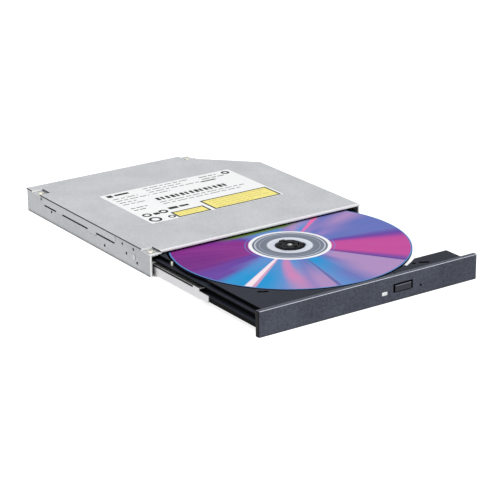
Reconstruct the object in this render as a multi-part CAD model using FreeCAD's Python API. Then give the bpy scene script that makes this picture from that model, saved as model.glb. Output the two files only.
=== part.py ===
import FreeCAD, Part
import math
import os

os.makedirs("parts", exist_ok=True)

# A slim tray-loading disc drive for a notebook computer, drawn with its tray part of the way out
# and a disc on the hub. Millimetres. X runs across the drive, Y from its front to its rear and Z
# up. The origin is the middle of the case's bottom face.

# Overall sizes of the closed case
CASE_W = 128.0
CASE_D = 126.1
CASE_H = 12.7
WING_W = 12.5
WING_Z = 7.2
NOTCH_X = 25.6
NOTCH_Y = 9.45
CHAMFER_Y = 25.95

# Sheet metal
SHEET = 0.6
COVER_T = 0.5
FLANGE_T = 0.35
LIP_DROP = 0.4
TAB_DROP = 1.0
TAB_T = 0.45

# How far the tray stands out, and how it sits behind its bezel
TRAY_OUT = 89.7
BEZEL_GAP = 0.3
BEZEL_T = 2.5
TRAY_LEN = 124.2
RAIL_OUT = 48.6

# Disc, and where its centre lies
DISC_R = 60.0
DISC_T = 1.2
DISC_HOLE_R = 7.5
DISC_Z = 9.7
HUB_X = 0.8
HUB_BACK = 64.4
POCKET_GAP = 1.2
EAR_GAP = 2.6

# Tray heights and walls
DECK_Z = 8.2
DECK_T = 0.8
RIM_Z = 10.95
WALL_Z = 1.5
WALL_T = 1.0
EAR_X = 58.3
EAR_D = 14.2

# Slide rails, counted inwards from the case wall's inner face
GUIDE_GAP = 0.03
GUIDE_T = 0.82
GUIDE_LIP = 3.05
GUIDE_Z1 = 7.6
GUIDE_LEN = 40.5
RAIL_GAP = 0.2
RAIL_T = 0.5
RAIL_W = 3.4
RAIL_Z0 = 1.6
RAIL_Z1 = 6.9
RAIL_LEN = 100.0
RAIL_TONGUE = 7.9
RIB_GAP = 0.2
RIB_H = 2.3

# Screws
M2_R = 1.0
M2_TAP_R = 0.8
SCREW_HEAD_R = 1.6
SCREW_HEAD_T = 0.6

# Spindle
SHAFT_R = 1.5
FIT = 0.03
ROTOR_R = 12.0
TABLE_R = 14.3
PAD_T = 0.5
HUB_GAP = 0.15

# Pickup and its drive, along the line on which the lens travels
LENS_NEAR = 23.0
LENS_FAR = 58.0
SLED_AZ = 225.0
ROD_R = 1.5
SUB_ROD_R = 1.25
ROD_V = 12.0
ROD_Z = 5.2
SCREW_V = -16.0
SCREW_R = 1.2
SCREW_PITCH = 3.0
FRAME_Z = 2.2

# Main board and flat flexes
BOARD_Z = 1.8
BOARD_T = 1.0
FLEX_T = 0.25
FLEX_W = 12.0
FLEX_BEND_R = 2.6

# Bezel features, measured across from the drive's middle
BUTTON_X0 = 12.5
BUTTON_X1 = 23.7
BUTTON_Z0 = 4.6
BUTTON_Z1 = 8.4
BUTTON_GAP = 0.35
CAP_IN = 0.75
CAP_LOW = 0.1
CAP_HIGH = 0.6
LIGHT_X0 = 5.6
LIGHT_X1 = 8.8
LIGHT_Z0 = 4.1
LIGHT_Z1 = 5.9
PINHOLE_X = 28.9
PINHOLE_Z = 4.7
PINHOLE_R = 0.65

# Places worked out from the sizes above
FRONT = -CASE_D / 2
REAR = CASE_D / 2
LEFT = -CASE_W / 2
RIGHT = CASE_W / 2
STEP_X = RIGHT - WING_W
WALL_IN_L = LEFT + FLANGE_T + SHEET
WALL_IN_R = STEP_X - SHEET
REAR_IN = REAR - FLANGE_T - SHEET
COVER_Z = CASE_H - COVER_T
FLOOR = SHEET
BACK = FRONT - BEZEL_GAP - TRAY_OUT
HUB_Y = BACK + HUB_BACK
HUB = FreeCAD.Vector(HUB_X, HUB_Y, 0)
DECK_TOP = DECK_Z + DECK_T
POCKET_R = DISC_R + POCKET_GAP
DISC_TOP = DISC_Z + DISC_T
TABLE_Z = DISC_Z - PAD_T
RIM_L = WALL_IN_L + 4.55
RIM_R = WALL_IN_R - 4.55
TRAY_WALL_L = WALL_IN_L + 5.55
TRAY_WALL_R = WALL_IN_R - 5.55
BAY_R = HUB_X + 26.4
LENS_MID = (LENS_NEAR + LENS_FAR) / 2
FLEX_X0 = BAY_R + 1.6
FLEX_X1 = FLEX_X0 + FLEX_W


# Small helpers
def vec(x, y, z=0.0):
    return FreeCAD.Vector(x, y, z)


def box(x0, x1, y0, y1, z0, z1):
    return Part.makeBox(x1 - x0, y1 - y0, z1 - z0, vec(x0, y0, z0))


def cyl(x, y, z0, z1, r):
    return Part.makeCylinder(r, z1 - z0, vec(x, y, z0))


def rod(p, q, r):
    along = q.sub(p)
    return Part.makeCylinder(r, along.Length, p, along)


def tube(x, y, z0, z1, outer, inner):
    return cyl(x, y, z0, z1, outer).cut(cyl(x, y, z0 - 1, z1 + 1, inner))


def prism(points, z0, z1):
    corners = [vec(x, y, z0) for x, y in points]
    wire = Part.makePolygon(corners + corners[:1])
    return Part.Face(wire).extrude(vec(0, 0, z1 - z0))


def prism_y(points, y0, y1):
    corners = [vec(x, y0, z) for x, z in points]
    wire = Part.makePolygon(corners + corners[:1])
    return Part.Face(wire).extrude(vec(0, y1 - y0, 0))


def prism_x(points, x0, x1):
    corners = [vec(x0, y, z) for y, z in points]
    wire = Part.makePolygon(corners + corners[:1])
    return Part.Face(wire).extrude(vec(x1 - x0, 0, 0))


def join(first, *others):
    return first.fuse(list(others)).removeSplitter()


def slot(x, y, z0, z1, r, dx, dy):
    ends = [cyl(x - dx, y - dy, z0, z1, r), cyl(x + dx, y + dy, z0, z1, r)]
    size = math.hypot(dx, dy)
    nx = -dy / size * r
    ny = dx / size * r
    sides = [(x - dx + nx, y - dy + ny), (x + dx + nx, y + dy + ny),
             (x + dx - nx, y + dy - ny), (x - dx - nx, y - dy - ny)]
    return join(prism(sides, z0, z1), *ends)


def rounded(shape, radius, test):
    edges = [edge for edge in shape.Edges if test(edge)]
    return shape.makeFillet(radius, edges)


def upright(edge):
    a = edge.Vertexes[0].Point
    b = edge.Vertexes[-1].Point
    return abs(a.x - b.x) < 1e-6 and abs(a.y - b.y) < 1e-6


def ribbon(path, thick):
    """Outline of a flat strip seen edge on, from its middle line."""
    left = []
    right = []
    for i, (a, b) in enumerate(path):
        before = path[max(i - 1, 0)]
        after = path[min(i + 1, len(path) - 1)]
        ta = math.atan2(b - before[1], a - before[0]) if i else None
        tb = math.atan2(after[1] - b, after[0] - a) if i < len(path) - 1 else None
        ta = tb if ta is None else ta
        tb = ta if tb is None else tb
        turn = (tb - ta + math.pi) % (2 * math.pi) - math.pi
        mid = ta + turn / 2
        reach = thick / 2 / math.cos(turn / 2)
        left.append((a - math.sin(mid) * reach, b + math.cos(mid) * reach))
        right.append((a + math.sin(mid) * reach, b - math.cos(mid) * reach))
    return left + right[::-1]


def arc_points(a, b, radius, start, stop, steps):
    turns = [start + (stop - start) * i / steps for i in range(steps + 1)]
    return [(a + radius * math.cos(math.radians(t)), b + radius * math.sin(math.radians(t)))
            for t in turns]


def screw(x, y, seat, tip, down=True, r=M2_TAP_R, head=SCREW_HEAD_R):
    """A pan-head screw whose head rests on the plane z = seat and whose shank ends at tip."""
    top = seat + SCREW_HEAD_T if down else seat - SCREW_HEAD_T
    cap = cyl(x, y, min(seat, top), max(seat, top), head)
    shank = cyl(x, y, min(seat, tip), max(seat, tip), r)
    deep = 0.3
    z0 = top - deep if down else top
    cross = [box(x - 0.8, x + 0.8, y - 0.2, y + 0.2, z0, z0 + deep),
             box(x - 0.2, x + 0.2, y - 0.8, y + 0.8, z0, z0 + deep)]
    return join(cap, shank).cut(cross[0]).cut(cross[1])


def on_traverse(shape):
    """Turns a shape drawn along the lens's travel about the hub and sets it there."""
    turned = shape.copy()
    turned.rotate(vec(0, 0), vec(0, 0, 1), SLED_AZ)
    turned.translate(HUB)
    return turned


def traverse_point(u, v):
    a = math.radians(SLED_AZ)
    return (HUB_X + u * math.cos(a) - v * math.sin(a), HUB_Y + u * math.sin(a) + v * math.cos(a))


def save(name, *shapes):
    solids = [solid for shape in shapes for solid in shape.Solids]
    whole = solids[0] if len(solids) == 1 else Part.makeCompound(solids)
    if not whole.isValid():
        raise ValueError(name + " is not valid")
    whole.exportStep("parts/" + name + ".step")
    print(name, len(solids), round(whole.Volume, 2))


# Case
def outline(inset, right_x, front_y):
    """The case seen from above, its walls moved in by inset."""
    nx = CHAMFER_Y
    ny = NOTCH_X
    size = math.hypot(nx, ny)
    nx /= size
    ny /= size
    k = nx * RIGHT + ny * (REAR - NOTCH_Y - CHAMFER_Y) - inset
    notch = RIGHT - NOTCH_X - inset
    right = right_x - inset
    return [(LEFT + inset, front_y), (right, front_y), (right, (k - nx * right) / ny),
            (notch, (k - nx * notch) / ny), (notch, REAR - inset), (LEFT + inset, REAR - inset)]


# Corner tabs of the cover, each with its screw: (x0, x1, y0, y1, screw x, screw y)
TABS = [
    (LEFT, LEFT + 6.2, FRONT, FRONT + 8.0, LEFT + 2.9, FRONT + 4.0),
    (LEFT, LEFT + 6.2, REAR - 15.1, REAR - 6.6, LEFT + 2.9, REAR - 11.0),
    (RIGHT - NOTCH_X - 6.0, RIGHT - NOTCH_X, REAR - 7.6, REAR, RIGHT - NOTCH_X - 2.9, REAR - 4.6),
]
TAB_TOP = CASE_H - TAB_DROP
LUG_TOP = TAB_TOP - TAB_T
LUG_T = 0.6

# Tapped holes in the side walls, (y, z), and in the rear wall, (x, z)
SIDE_HOLES = [(FRONT + 12.9, 3.8), (FRONT + 44.3, 3.8)]
REAR_HOLES = [(LEFT + 14.0, 6.0), (RIGHT - NOTCH_X - 8.0, 6.0)]
BURR = 0.4
REAR_BURR = 0.8
CONNECTOR_X = 5.0
CONNECTOR_W = 36.0
CONNECTOR_Z0 = BOARD_Z + BOARD_T
CONNECTOR_Z1 = 7.0


def bottom_case():
    skin = prism(outline(FLANGE_T, STEP_X + FLANGE_T, FRONT), 0, COVER_Z)
    wing = prism(outline(FLANGE_T, RIGHT, FRONT), WING_Z, COVER_Z)
    room = prism(outline(FLANGE_T + SHEET, STEP_X + FLANGE_T, FRONT - 1), FLOOR, CASE_H)
    wing_room = prism(outline(FLANGE_T + SHEET, RIGHT, FRONT - 1), WING_Z + SHEET, CASE_H)
    case = join(skin, wing).cut(join(room, wing_room))
    for x0, x1, y0, y1, sx, sy in TABS:
        case = case.cut(box(x0 - 1, x1, y0 - 1, y1 + 1, LUG_TOP, CASE_H))
        inner = x1 - 1.4 if sx < 0 else x1 - FLANGE_T
        lug = box(max(x0, LEFT + FLANGE_T), inner, y0 + 0.5, min(y1, REAR - FLANGE_T),
                  LUG_TOP - LUG_T, LUG_TOP)
        case = join(case, lug).cut(cyl(sx, sy, LUG_TOP - 2, LUG_TOP + 1, M2_TAP_R))
    return wall_details(case)


def peg(r, x0, x1):
    """The oval end of the left rail guide's peg, which shows in the side wall."""
    low = rod(vec(x0, PEG_Y, PEG_Z0), vec(x1, PEG_Y, PEG_Z0), r)
    high = rod(vec(x0, PEG_Y, PEG_Z1), vec(x1, PEG_Y, PEG_Z1), r)
    return join(low, high, box(x0, x1, PEG_Y - r, PEG_Y + r, PEG_Z0, PEG_Z1))


def wall_details(case):
    for y, z in SIDE_HOLES:
        for face, inside in ((LEFT + FLANGE_T, 1), (STEP_X, -1)):
            burr_end = face + inside * (SHEET + BURR)
            case = join(case, rod(vec(face, y, z), vec(burr_end, y, z), M2_TAP_R + 0.4))
            case = case.cut(rod(vec(face - inside, y, z), vec(burr_end + inside, y, z), M2_TAP_R))
    wall = REAR - FLANGE_T
    for x, z in REAR_HOLES:
        case = join(case, rod(vec(x, wall, z), vec(x, wall - SHEET - REAR_BURR, z), M2_TAP_R + 0.5))
        case = case.cut(rod(vec(x, wall + 1, z), vec(x, wall - 4, z), M2_TAP_R))
    half = CONNECTOR_W / 2 + 0.3
    case = case.cut(box(CONNECTOR_X - half, CONNECTOR_X + half, REAR_IN - 1, REAR + 1,
                        CONNECTOR_Z0 - 0.4, CONNECTOR_Z1 + 0.3))
    # Small locating holes and a long dimple in the left wall
    for y, z, r in ((110.35, 10.4, 0.7), (99.3, 6.3, 0.75), (26.8, 9.9, 0.75), (16.25, 10.0, 0.75),
                    (23.0, 6.0, 0.75)):
        case = case.cut(rod(vec(LEFT - 1, FRONT + y, z), vec(WALL_IN_L + 0.5, FRONT + y, z), r))
    case = case.cut(peg(PEG_R + PEG_GAP, LEFT - 1, WALL_IN_L + 0.5))
    # Slots under the cover's flange, and finer grooves under its tongues
    for y0, y1 in WALL_SLOTS:
        case = case.cut(box(LEFT - 1, WALL_IN_L + 0.5, y0, y1, FLANGE_Z - SLOT_H, FLANGE_Z))
    for y0, y1, z in TONGUES:
        groove = box(LEFT - 1, LEFT + FLANGE_T + SLIT, y0 - SLIT, y1 + SLIT, z - SLIT, FLANGE_Z)
        case = case.cut(groove)
    # Bosses under the main board
    for x, y in BOARD_SCREWS:
        case = join(case, tube(x, y, FLOOR - 0.1, BOARD_Z, 2.2, M2_TAP_R))
    # Shallow stiffening beads pressed up in the floor of the bay
    for x in BEADS:
        case = join(case, box(x - 1.0, x + 1.0, FRONT + 6, FRONT + 82, FLOOR - 0.1, FLOOR + 0.15))
    return case


BOARD_SCREWS = [(LEFT + 12.0, FRONT + 99.0), (LEFT + 12.0, REAR - 6.0),
                (FLEX_X0 - 2.4, FRONT + 99.0)]
BEADS = [LEFT + 20.0, LEFT + 46.0, LEFT + 72.0]

# Side flange of the cover: it hangs over the left wall, with two longer tongues
FLANGE_Y0 = FRONT + 34.0
FLANGE_Y1 = FRONT + 107.2
FLANGE_Z = 8.6
TONGUES = [(FRONT + 52.7, FRONT + 60.6, 7.0), (FRONT + 87.7, FRONT + 93.5, 7.5)]
WALL_SLOTS = [(FRONT + 34.3, FRONT + 52.2), (FRONT + 61.1, FRONT + 87.2), (FRONT + 94.0, FRONT + 106.9)]
SLOT_H = 1.1
SLIT = 0.3

# Peg of the left rail guide
PEG_Y = FRONT + 15.5
PEG_Z0 = 5.4
PEG_Z1 = 6.8
PEG_R = 0.75
PEG_GAP = 0.05
PEG_OUT = 0.2


def top_cover():
    plate = prism(outline(0, RIGHT, FRONT), COVER_Z, CASE_H)
    plate = rounded(plate, 0.25, lambda e: top_edge(e, CASE_H))
    lip = box(TABS[0][1] + COVER_T, RIGHT - FLANGE_T - SHEET, FRONT, FRONT + 0.45,
              COVER_Z - LIP_DROP, COVER_Z + 0.1)
    cover = join(plate, lip)
    for x0, x1, y0, y1, sx, sy in TABS:
        over_x = x1 + COVER_T if sx < 0 else x0 - COVER_T
        step = box(min(x0, over_x), max(x1, over_x), y0 - COVER_T, y1 + COVER_T, LUG_TOP, CASE_H)
        step = step.common(prism(outline(0, RIGHT, FRONT), 0, CASE_H))
        hollow = box(x0 - 0.01, x1, y0, y1, TAB_TOP, CASE_H + 1)
        if sx > 0:
            hollow = box(x0, x1 + 1, y0, y1 + 1, TAB_TOP, CASE_H + 1)
        cover = join(cover, step).cut(hollow)
        cover = cover.cut(cyl(sx, sy, LUG_TOP - 1, TAB_TOP + 1, M2_R + 0.1))
    side = box(LEFT, LEFT + FLANGE_T, FLANGE_Y0, FLANGE_Y1, FLANGE_Z, COVER_Z + 0.1)
    for y0, y1, z in TONGUES:
        side = join(side, box(LEFT, LEFT + FLANGE_T, y0, y1, z, FLANGE_Z + 0.1))
    far = box(RIGHT - FLANGE_T, RIGHT, FLANGE_Y0, FRONT + 84.0, FLANGE_Z, COVER_Z + 0.1)
    rear = box(LEFT + 20.0, CONNECTOR_X + 20.0, REAR - FLANGE_T, REAR, FLANGE_Z, COVER_Z + 0.1)
    return join(cover, side, far, rear)


def top_edge(edge, z):
    low = min(v.Z for v in edge.Vertexes)
    return abs(low - z) < 1e-6


def cover_screws():
    return [screw(sx, sy, TAB_TOP, LUG_TOP - LUG_T - 0.6, r=M2_TAP_R - 0.02) for *_, sx, sy in TABS]


LABEL_X0 = LEFT + 23.9
LABEL_X1 = LEFT + 105.5
LABEL_Y0 = FRONT + 36.5
LABEL_Y1 = FRONT + 89.9
LABEL_T = 0.1


def rating_label():
    sheet = box(LABEL_X0, LABEL_X1, LABEL_Y0, LABEL_Y1, CASE_H, CASE_H + LABEL_T)
    return rounded(sheet, 1.2, upright)


def rail_guide(side):
    """A channel of slippery plastic on the case wall in which the steel rail runs."""
    wall = WALL_IN_L if side < 0 else WALL_IN_R
    back = wall - side * GUIDE_GAP
    face = wall - side * (GUIDE_GAP + GUIDE_T)
    tip = wall - side * GUIDE_LIP
    y0 = FRONT + 0.5
    y1 = y0 + GUIDE_LEN
    low = RAIL_Z0 - RAIL_GAP
    high = RAIL_Z1 + RAIL_GAP
    section = [(back, FLOOR), (tip, FLOOR), (tip, low), (face, low), (face, high), (tip, high),
               (tip, GUIDE_Z1), (back, GUIDE_Z1)]
    guide = prism_y(section, y0, y1)
    for y, z in SIDE_HOLES:
        guide = guide.cut(rod(vec(wall - 3, y, z), vec(wall + 3, y, z), M2_TAP_R + 0.6))
    if side < 0:
        guide = join(guide, peg(PEG_R, LEFT + FLANGE_T - PEG_OUT, back + GUIDE_T / 2))
    return guide


def slide_rail(side):
    """A folded steel channel that runs in the guide and carries the tray's runner."""
    wall = WALL_IN_L if side < 0 else WALL_IN_R
    outer = wall - side * (GUIDE_GAP + GUIDE_T + RAIL_GAP)
    inner = outer - side * RAIL_T
    tip = outer - side * RAIL_W
    y0 = FRONT + 0.7 - RAIL_OUT
    y1 = y0 + RAIL_LEN
    section = [(outer, RAIL_Z0), (tip, RAIL_Z0), (tip, RAIL_Z0 + RAIL_T), (inner, RAIL_Z0 + RAIL_T),
               (inner, RAIL_Z1 - RAIL_T), (tip, RAIL_Z1 - RAIL_T), (tip, RAIL_Z1), (outer, RAIL_Z1)]
    channel = prism_y(section, y0 + RAIL_TONGUE, y1)
    x0, x1 = sorted((outer, inner))
    tongue = box(x0, x1, y0, y0 + RAIL_TONGUE + 1, RAIL_Z0 + 0.4, RAIL_Z1 - 1.3)
    return join(channel, tongue)


# Things on the case floor
POST_X = FLEX_X1 - 2.3
POST_Y = FRONT - BEZEL_GAP + 9.3
POST_R = 0.8
POST_TOP = 5.6


def latch_post():
    base = cyl(POST_X, POST_Y, FLOOR, FLOOR + 0.3, 2.0)
    return join(base, cyl(POST_X, POST_Y, FLOOR, POST_TOP, POST_R))


BOARD_Y0 = FRONT + 96.0
BOARD_Y1 = REAR_IN - 0.6
SOCKET_Y0 = FRONT + 96.8
SOCKET_D = 3.6
SOCKET_H = 1.8
SPRING_X = HUB_X - 20.8
SPRING_Z = 5.7


def main_board():
    edge = RIGHT - NOTCH_X - 1.6
    points = [(LEFT + 9.0, BOARD_Y0), (WALL_IN_R - 8.0, BOARD_Y0), (edge + 2.0, REAR - 20.0),
              (edge, REAR - 18.0), (edge, BOARD_Y1), (LEFT + 9.0, BOARD_Y1)]
    board = prism(points, BOARD_Z, BOARD_Z + BOARD_T)
    for x, y in BOARD_SCREWS:
        board = board.cut(cyl(x, y, 0, 10, M2_R + 0.1))
    return board


def board_screws():
    top = BOARD_Z + BOARD_T
    return [screw(x, y, top, FLOOR + 0.1, r=M2_TAP_R - 0.02) for x, y in BOARD_SCREWS]


def board_parts():
    """Controller, memory, drivers, a quartz can, capacitors and the flex's socket, on the board."""
    top = BOARD_Z + BOARD_T
    sizes = [(-36.0, 47.0, 12.0, 12.0, 1.2), (-17.0, 40.5, 9.0, 6.0, 0.9), (-2.0, 44.0, 8.0, 8.0, 1.0),
             (12.0, 44.0, 7.0, 9.0, 1.4), (-49.0, 43.0, 5.0, 3.2, 1.1), (20.5, 46.0, 3.5, 3.0, 1.8),
             (-46.0, 53.0, 3.0, 2.2, 1.0), (-3.0, 52.0, 4.0, 1.6, 0.8), (21.0, 51.0, 2.0, 1.2, 0.8),
             (-27.5, 54.0, 2.0, 1.2, 0.8), (-28.5, 42.0, 1.6, 3.0, 0.8)]
    rear = REAR - 63.05
    chips = [box(x - w / 2, x + w / 2, y + rear - d / 2, y + rear + d / 2, top, top + h)
             for x, y, w, d, h in sizes]
    return chips + [main_flex_socket()]


def rear_connector():
    """A flush socket: a shell around a thin tongue that carries the contacts."""
    x0 = CONNECTOR_X - CONNECTOR_W / 2
    x1 = CONNECTOR_X + CONNECTOR_W / 2
    shell = box(x0, x1, REAR - 8.0, REAR, CONNECTOR_Z0, CONNECTOR_Z1)
    mouth = box(x0 + 2.2, x1 - 2.2, REAR - 5.5, REAR + 1, CONNECTOR_Z0 + 0.6, CONNECTOR_Z1 - 0.6)
    key = box(x0 + 0.7, x0 + 1.5, REAR - 3, REAR + 1, CONNECTOR_Z0 + 1.2, CONNECTOR_Z1 - 1.2)
    tongue_z = (CONNECTOR_Z0 + CONNECTOR_Z1) / 2
    tongue = box(x0 + 3.4, x1 - 3.4, REAR - 6.0, REAR - 0.8, tongue_z - 0.5, tongue_z + 0.5)
    return join(shell.cut(mouth).cut(key), tongue)


def connector_contacts():
    contacts = []
    pitch = 0.8
    count = 34
    tongue_z = (CONNECTOR_Z0 + CONNECTOR_Z1) / 2
    first = CONNECTOR_X - pitch * (count - 1) / 2
    for i in range(count):
        x = first + pitch * i
        contacts.append(box(x - 0.2, x + 0.2, REAR - 5.2, REAR - 1.4, tongue_z + 0.5, tongue_z + 0.6))
    return contacts


def main_flex_socket():
    top = BOARD_Z + BOARD_T
    body = box(FLEX_X0 - 0.8, FLEX_X1 + 0.8, SOCKET_Y0, SOCKET_Y0 + SOCKET_D, top, top + SOCKET_H)
    throat = box(FLEX_X0 - 0.1, FLEX_X1 + 0.1, SOCKET_Y0 - 1, SOCKET_Y0 + 2.0,
                 top + 0.5 - FLEX_T / 2 - 0.02, top + 0.5 + FLEX_T / 2 + 0.02)
    return body.cut(throat)


def ejector_pin():
    flange = rod(vec(SPRING_X, REAR_IN, SPRING_Z), vec(SPRING_X, REAR_IN - 0.8, SPRING_Z), 2.6)
    return join(flange, rod(vec(SPRING_X, REAR_IN, SPRING_Z), vec(SPRING_X, REAR_IN - 9.0, SPRING_Z), 0.9))


def coil(start, axis_rotation, radius, wire, pitch, turns):
    """An open helical spring of round wire that starts at a point."""
    helix = Part.makeHelix(pitch, pitch * turns, radius)
    ring = Part.Wire(Part.makeCircle(wire, vec(radius, 0, 0), vec(0, 1, 0)))
    spring = Part.Wire(helix.Edges).makePipeShell([ring], True, True)
    if axis_rotation:
        spring.rotate(vec(0, 0), vec(1, 0, 0), axis_rotation)
    spring.translate(start)
    return spring


def ejector_spring():
    start = vec(SPRING_X, REAR_IN - 0.8 - 0.3, SPRING_Z)
    return coil(start, 90, 1.7, 0.25, 1.8, 8)


# Main flex: flat on the floor, folded back, round its loose bend and up to the tray
FLEX_FIX_Y = FRONT + 28.0
TRAY_SOCKET_BACK = 90.0
FLEX_SPARE = 66.0
FLEX_FLOOR_Z = FLOOR + 0.28
FLEX_FOLD_R = 0.55


def main_flex():
    end_y = BACK + TRAY_SOCKET_BACK
    start_y = SOCKET_Y0 + 1.9
    start_z = BOARD_Z + BOARD_T + 0.5
    low_z = FLEX_FLOOR_Z + 2 * FLEX_FOLD_R
    high_z = low_z + 2 * FLEX_BEND_R
    bend_y = (FLEX_FIX_Y + end_y + FLEX_SPARE) / 2 - FLEX_BEND_R
    path = [(start_y, start_z), (start_y - 4.0, start_z), (start_y - 7.0, FLEX_FLOOR_Z)]
    path += arc_points(FLEX_FIX_Y + FLEX_FOLD_R, FLEX_FLOOR_Z + FLEX_FOLD_R, FLEX_FOLD_R, 270, 90, 6)
    path += arc_points(bend_y, low_z + FLEX_BEND_R, FLEX_BEND_R, -90, 90, 10)
    path += [(end_y - 0.6, high_z)]
    return prism_x(ribbon(path, FLEX_T), FLEX_X0, FLEX_X1)


FLEX_HIGH_Z = FLEX_FLOOR_Z + 2 * FLEX_FOLD_R + 2 * FLEX_BEND_R

# Tray
WINDOW_EDGE = 1.0
WINDOW = [(-18.0, -19.8), (59.2, -19.8), (66.2, -12.8), (66.2, 15.8), (-18.0, 15.8)]
DAMPERS = [(-13.0, 17.3), (-13.0, -21.7), (58.0, 17.3)]
SHIELD_X1 = BAY_R + 0.6
SHIELD_Z = 1.1
SHIELD_T = 0.3
SHIELD_BACK = 96.0
HOOKS = [LEFT + 16.0, LEFT + 44.0, 44.5]
PIVOT_X = POST_X + 2.3
PIVOT_BACK = 4.2
PIVOT_R = 1.0
BOARD2_Z = 2.2
BOARD2_T = 0.8


def shield_screw_places():
    return [(TRAY_WALL_L + 4.5, BACK + 4.5), (TRAY_WALL_L + 4.5, BACK + SHIELD_BACK - 4.5),
            (BAY_R - 4.7, BACK + SHIELD_BACK - 4.5), (-14.0, BACK + SHIELD_BACK - 4.0)]


def notch():
    """Where the tray is cut away at its right front, under the disc's edge."""
    away = box(29.0, EAR_X + 5, BACK + EAR_D, BACK + 45, 0, 20)
    under_ear = box(29.0, EAR_X + 5, BACK, BACK + EAR_D + 0.01, 0, 20)
    under_ear = under_ear.common(cyl(HUB_X, HUB_Y, 0, 20, DISC_R + EAR_GAP))
    return join(away, under_ear).cut(cyl(HUB_X, HUB_Y, -1, 21, DISC_R - 2.0))


def tray_deck():
    rear = BACK + TRAY_LEN
    deck_shape = [(RIM_L, BACK), (EAR_X, BACK), (EAR_X, BACK + EAR_D), (RIM_R, BACK + EAR_D),
                  (RIM_R, rear - 24.0), (24.0, rear), (LEFT + 14.0, rear), (RIM_L, rear - 8.5)]
    deck = prism(deck_shape, DECK_Z, DECK_TOP)
    rim = prism(deck_shape, DECK_TOP, RIM_Z)
    rim = rim.cut(cyl(HUB_X, HUB_Y, DECK_TOP, 20, POCKET_R))
    shelf = box(WALL_IN_L + 2.25, RIM_L + 1.5, BACK, rear - 8.5, DECK_Z, DECK_TOP - 0.2)
    lean = prism_y([(RIM_L - 0.01, RIM_Z - 0.55), (RIM_L + 1.3, DECK_TOP - 0.2),
                    (RIM_L - 0.01, DECK_TOP - 0.2)], BACK - 1, rear + 1)
    body = join(join(deck, rim).cut(lean), shelf).cut(notch())
    # Two long holes and two dimples in the rim
    body = body.cut(slot(LEFT + 18.0, BACK + 20.6, DECK_Z - 1, 20, 0.9, 1.6, -0.95))
    body = body.cut(slot(LEFT + 102.9, BACK + 7.5, DECK_Z - 1, 20, 0.95, 1.6, -0.9))
    body = body.cut(cyl(LEFT + 97.9, BACK + 9.1, DECK_Z + 0.4, 20, 0.95))
    body = body.cut(cyl(LEFT + 82.3, BACK + 3.9, DECK_Z + 0.4, 20, 0.8))
    return body


def window_shape(grow, z0, z1):
    """The opening in the pocket's floor over the traverse, in the traverse's own frame."""
    points = [(u + math.copysign(grow, u), v + math.copysign(grow, v)) for u, v in WINDOW]
    return prism(points, z0, z1).common(cyl(0, 0, z0, z1, DISC_R - WINDOW_EDGE + grow))


def runner(side, y0, y1):
    """The rib that slides in the rail, with taller shoes where the rail holds it."""
    wall = WALL_IN_L if side < 0 else WALL_IN_R
    outer = wall - side * (GUIDE_GAP + GUIDE_T + RAIL_GAP + RAIL_T + RIB_GAP)
    inner = TRAY_WALL_L if side < 0 else TRAY_WALL_R
    x0, x1 = sorted((outer, inner))
    z0 = RAIL_Z0 + RAIL_T + RIB_GAP
    rib = box(x0, x1, y0, y1, z0, z0 + RIB_H)
    shoes = [box(x0, x1, y, y + 12.0, z0, RAIL_Z1 - RAIL_T - RIB_GAP) for y in (BACK + 50.0, y1 - 14.0)]
    return join(rib, *shoes)


def tray():
    rear = BACK + TRAY_LEN
    body = tray_deck()
    right_start = BACK + 34.5
    walls = [box(TRAY_WALL_L, TRAY_WALL_L + WALL_T, BACK, rear - 8.5, WALL_Z, DECK_Z),
             box(TRAY_WALL_R - WALL_T, TRAY_WALL_R, right_start, BACK + 97.0, WALL_Z, DECK_Z),
             box(TRAY_WALL_L, PIVOT_X + 4.0, BACK, BACK + 1.2, WALL_Z, DECK_Z),
             box(BAY_R, BAY_R + 0.8, BACK, BACK + SHIELD_BACK, WALL_Z, DECK_Z),
             box(TRAY_WALL_L, BAY_R + 0.8, BACK + SHIELD_BACK - 1.0, BACK + SHIELD_BACK, WALL_Z, DECK_Z)]
    tab = box(SPRING_X - 2, SPRING_X + 2, rear - 10.2, rear - 8.7, SPRING_Z - 1.7, DECK_Z)
    pivot = cyl(PIVOT_X, BACK + PIVOT_BACK, 2.4, DECK_Z, PIVOT_R)
    body = join(body, *walls, tab, pivot)
    body = join(body, runner(-1, BACK + 2, rear - 2), runner(1, right_start, BACK + 97.0))
    for u, v in DAMPERS:
        x, y = traverse_point(u, v)
        body = join(body, cyl(x, y, 5.2, DECK_Z + 0.1, 2.4))
    body = body.cut(on_traverse(window_shape(0.3, DECK_Z, 12)))
    body = body.cut(on_traverse(box(LENS_NEAR, LENS_FAR + 4.6, -8.0, 8.0, DECK_Z - 0.1, DECK_TOP)))
    for u, v in DAMPERS:
        x, y = traverse_point(u, v)
        body = body.cut(cyl(x, y, 0, DECK_Z - 1.0, SCREW_R))
    for x, y in shield_screw_places():
        body = join(body, cyl(x, y, SHIELD_Z + SHIELD_T, DECK_Z + 0.1, 2.0))
        body = body.cut(cyl(x, y, 0, DECK_Z - 2.0, M2_TAP_R))
    return body.cut(tray_openings())


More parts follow.
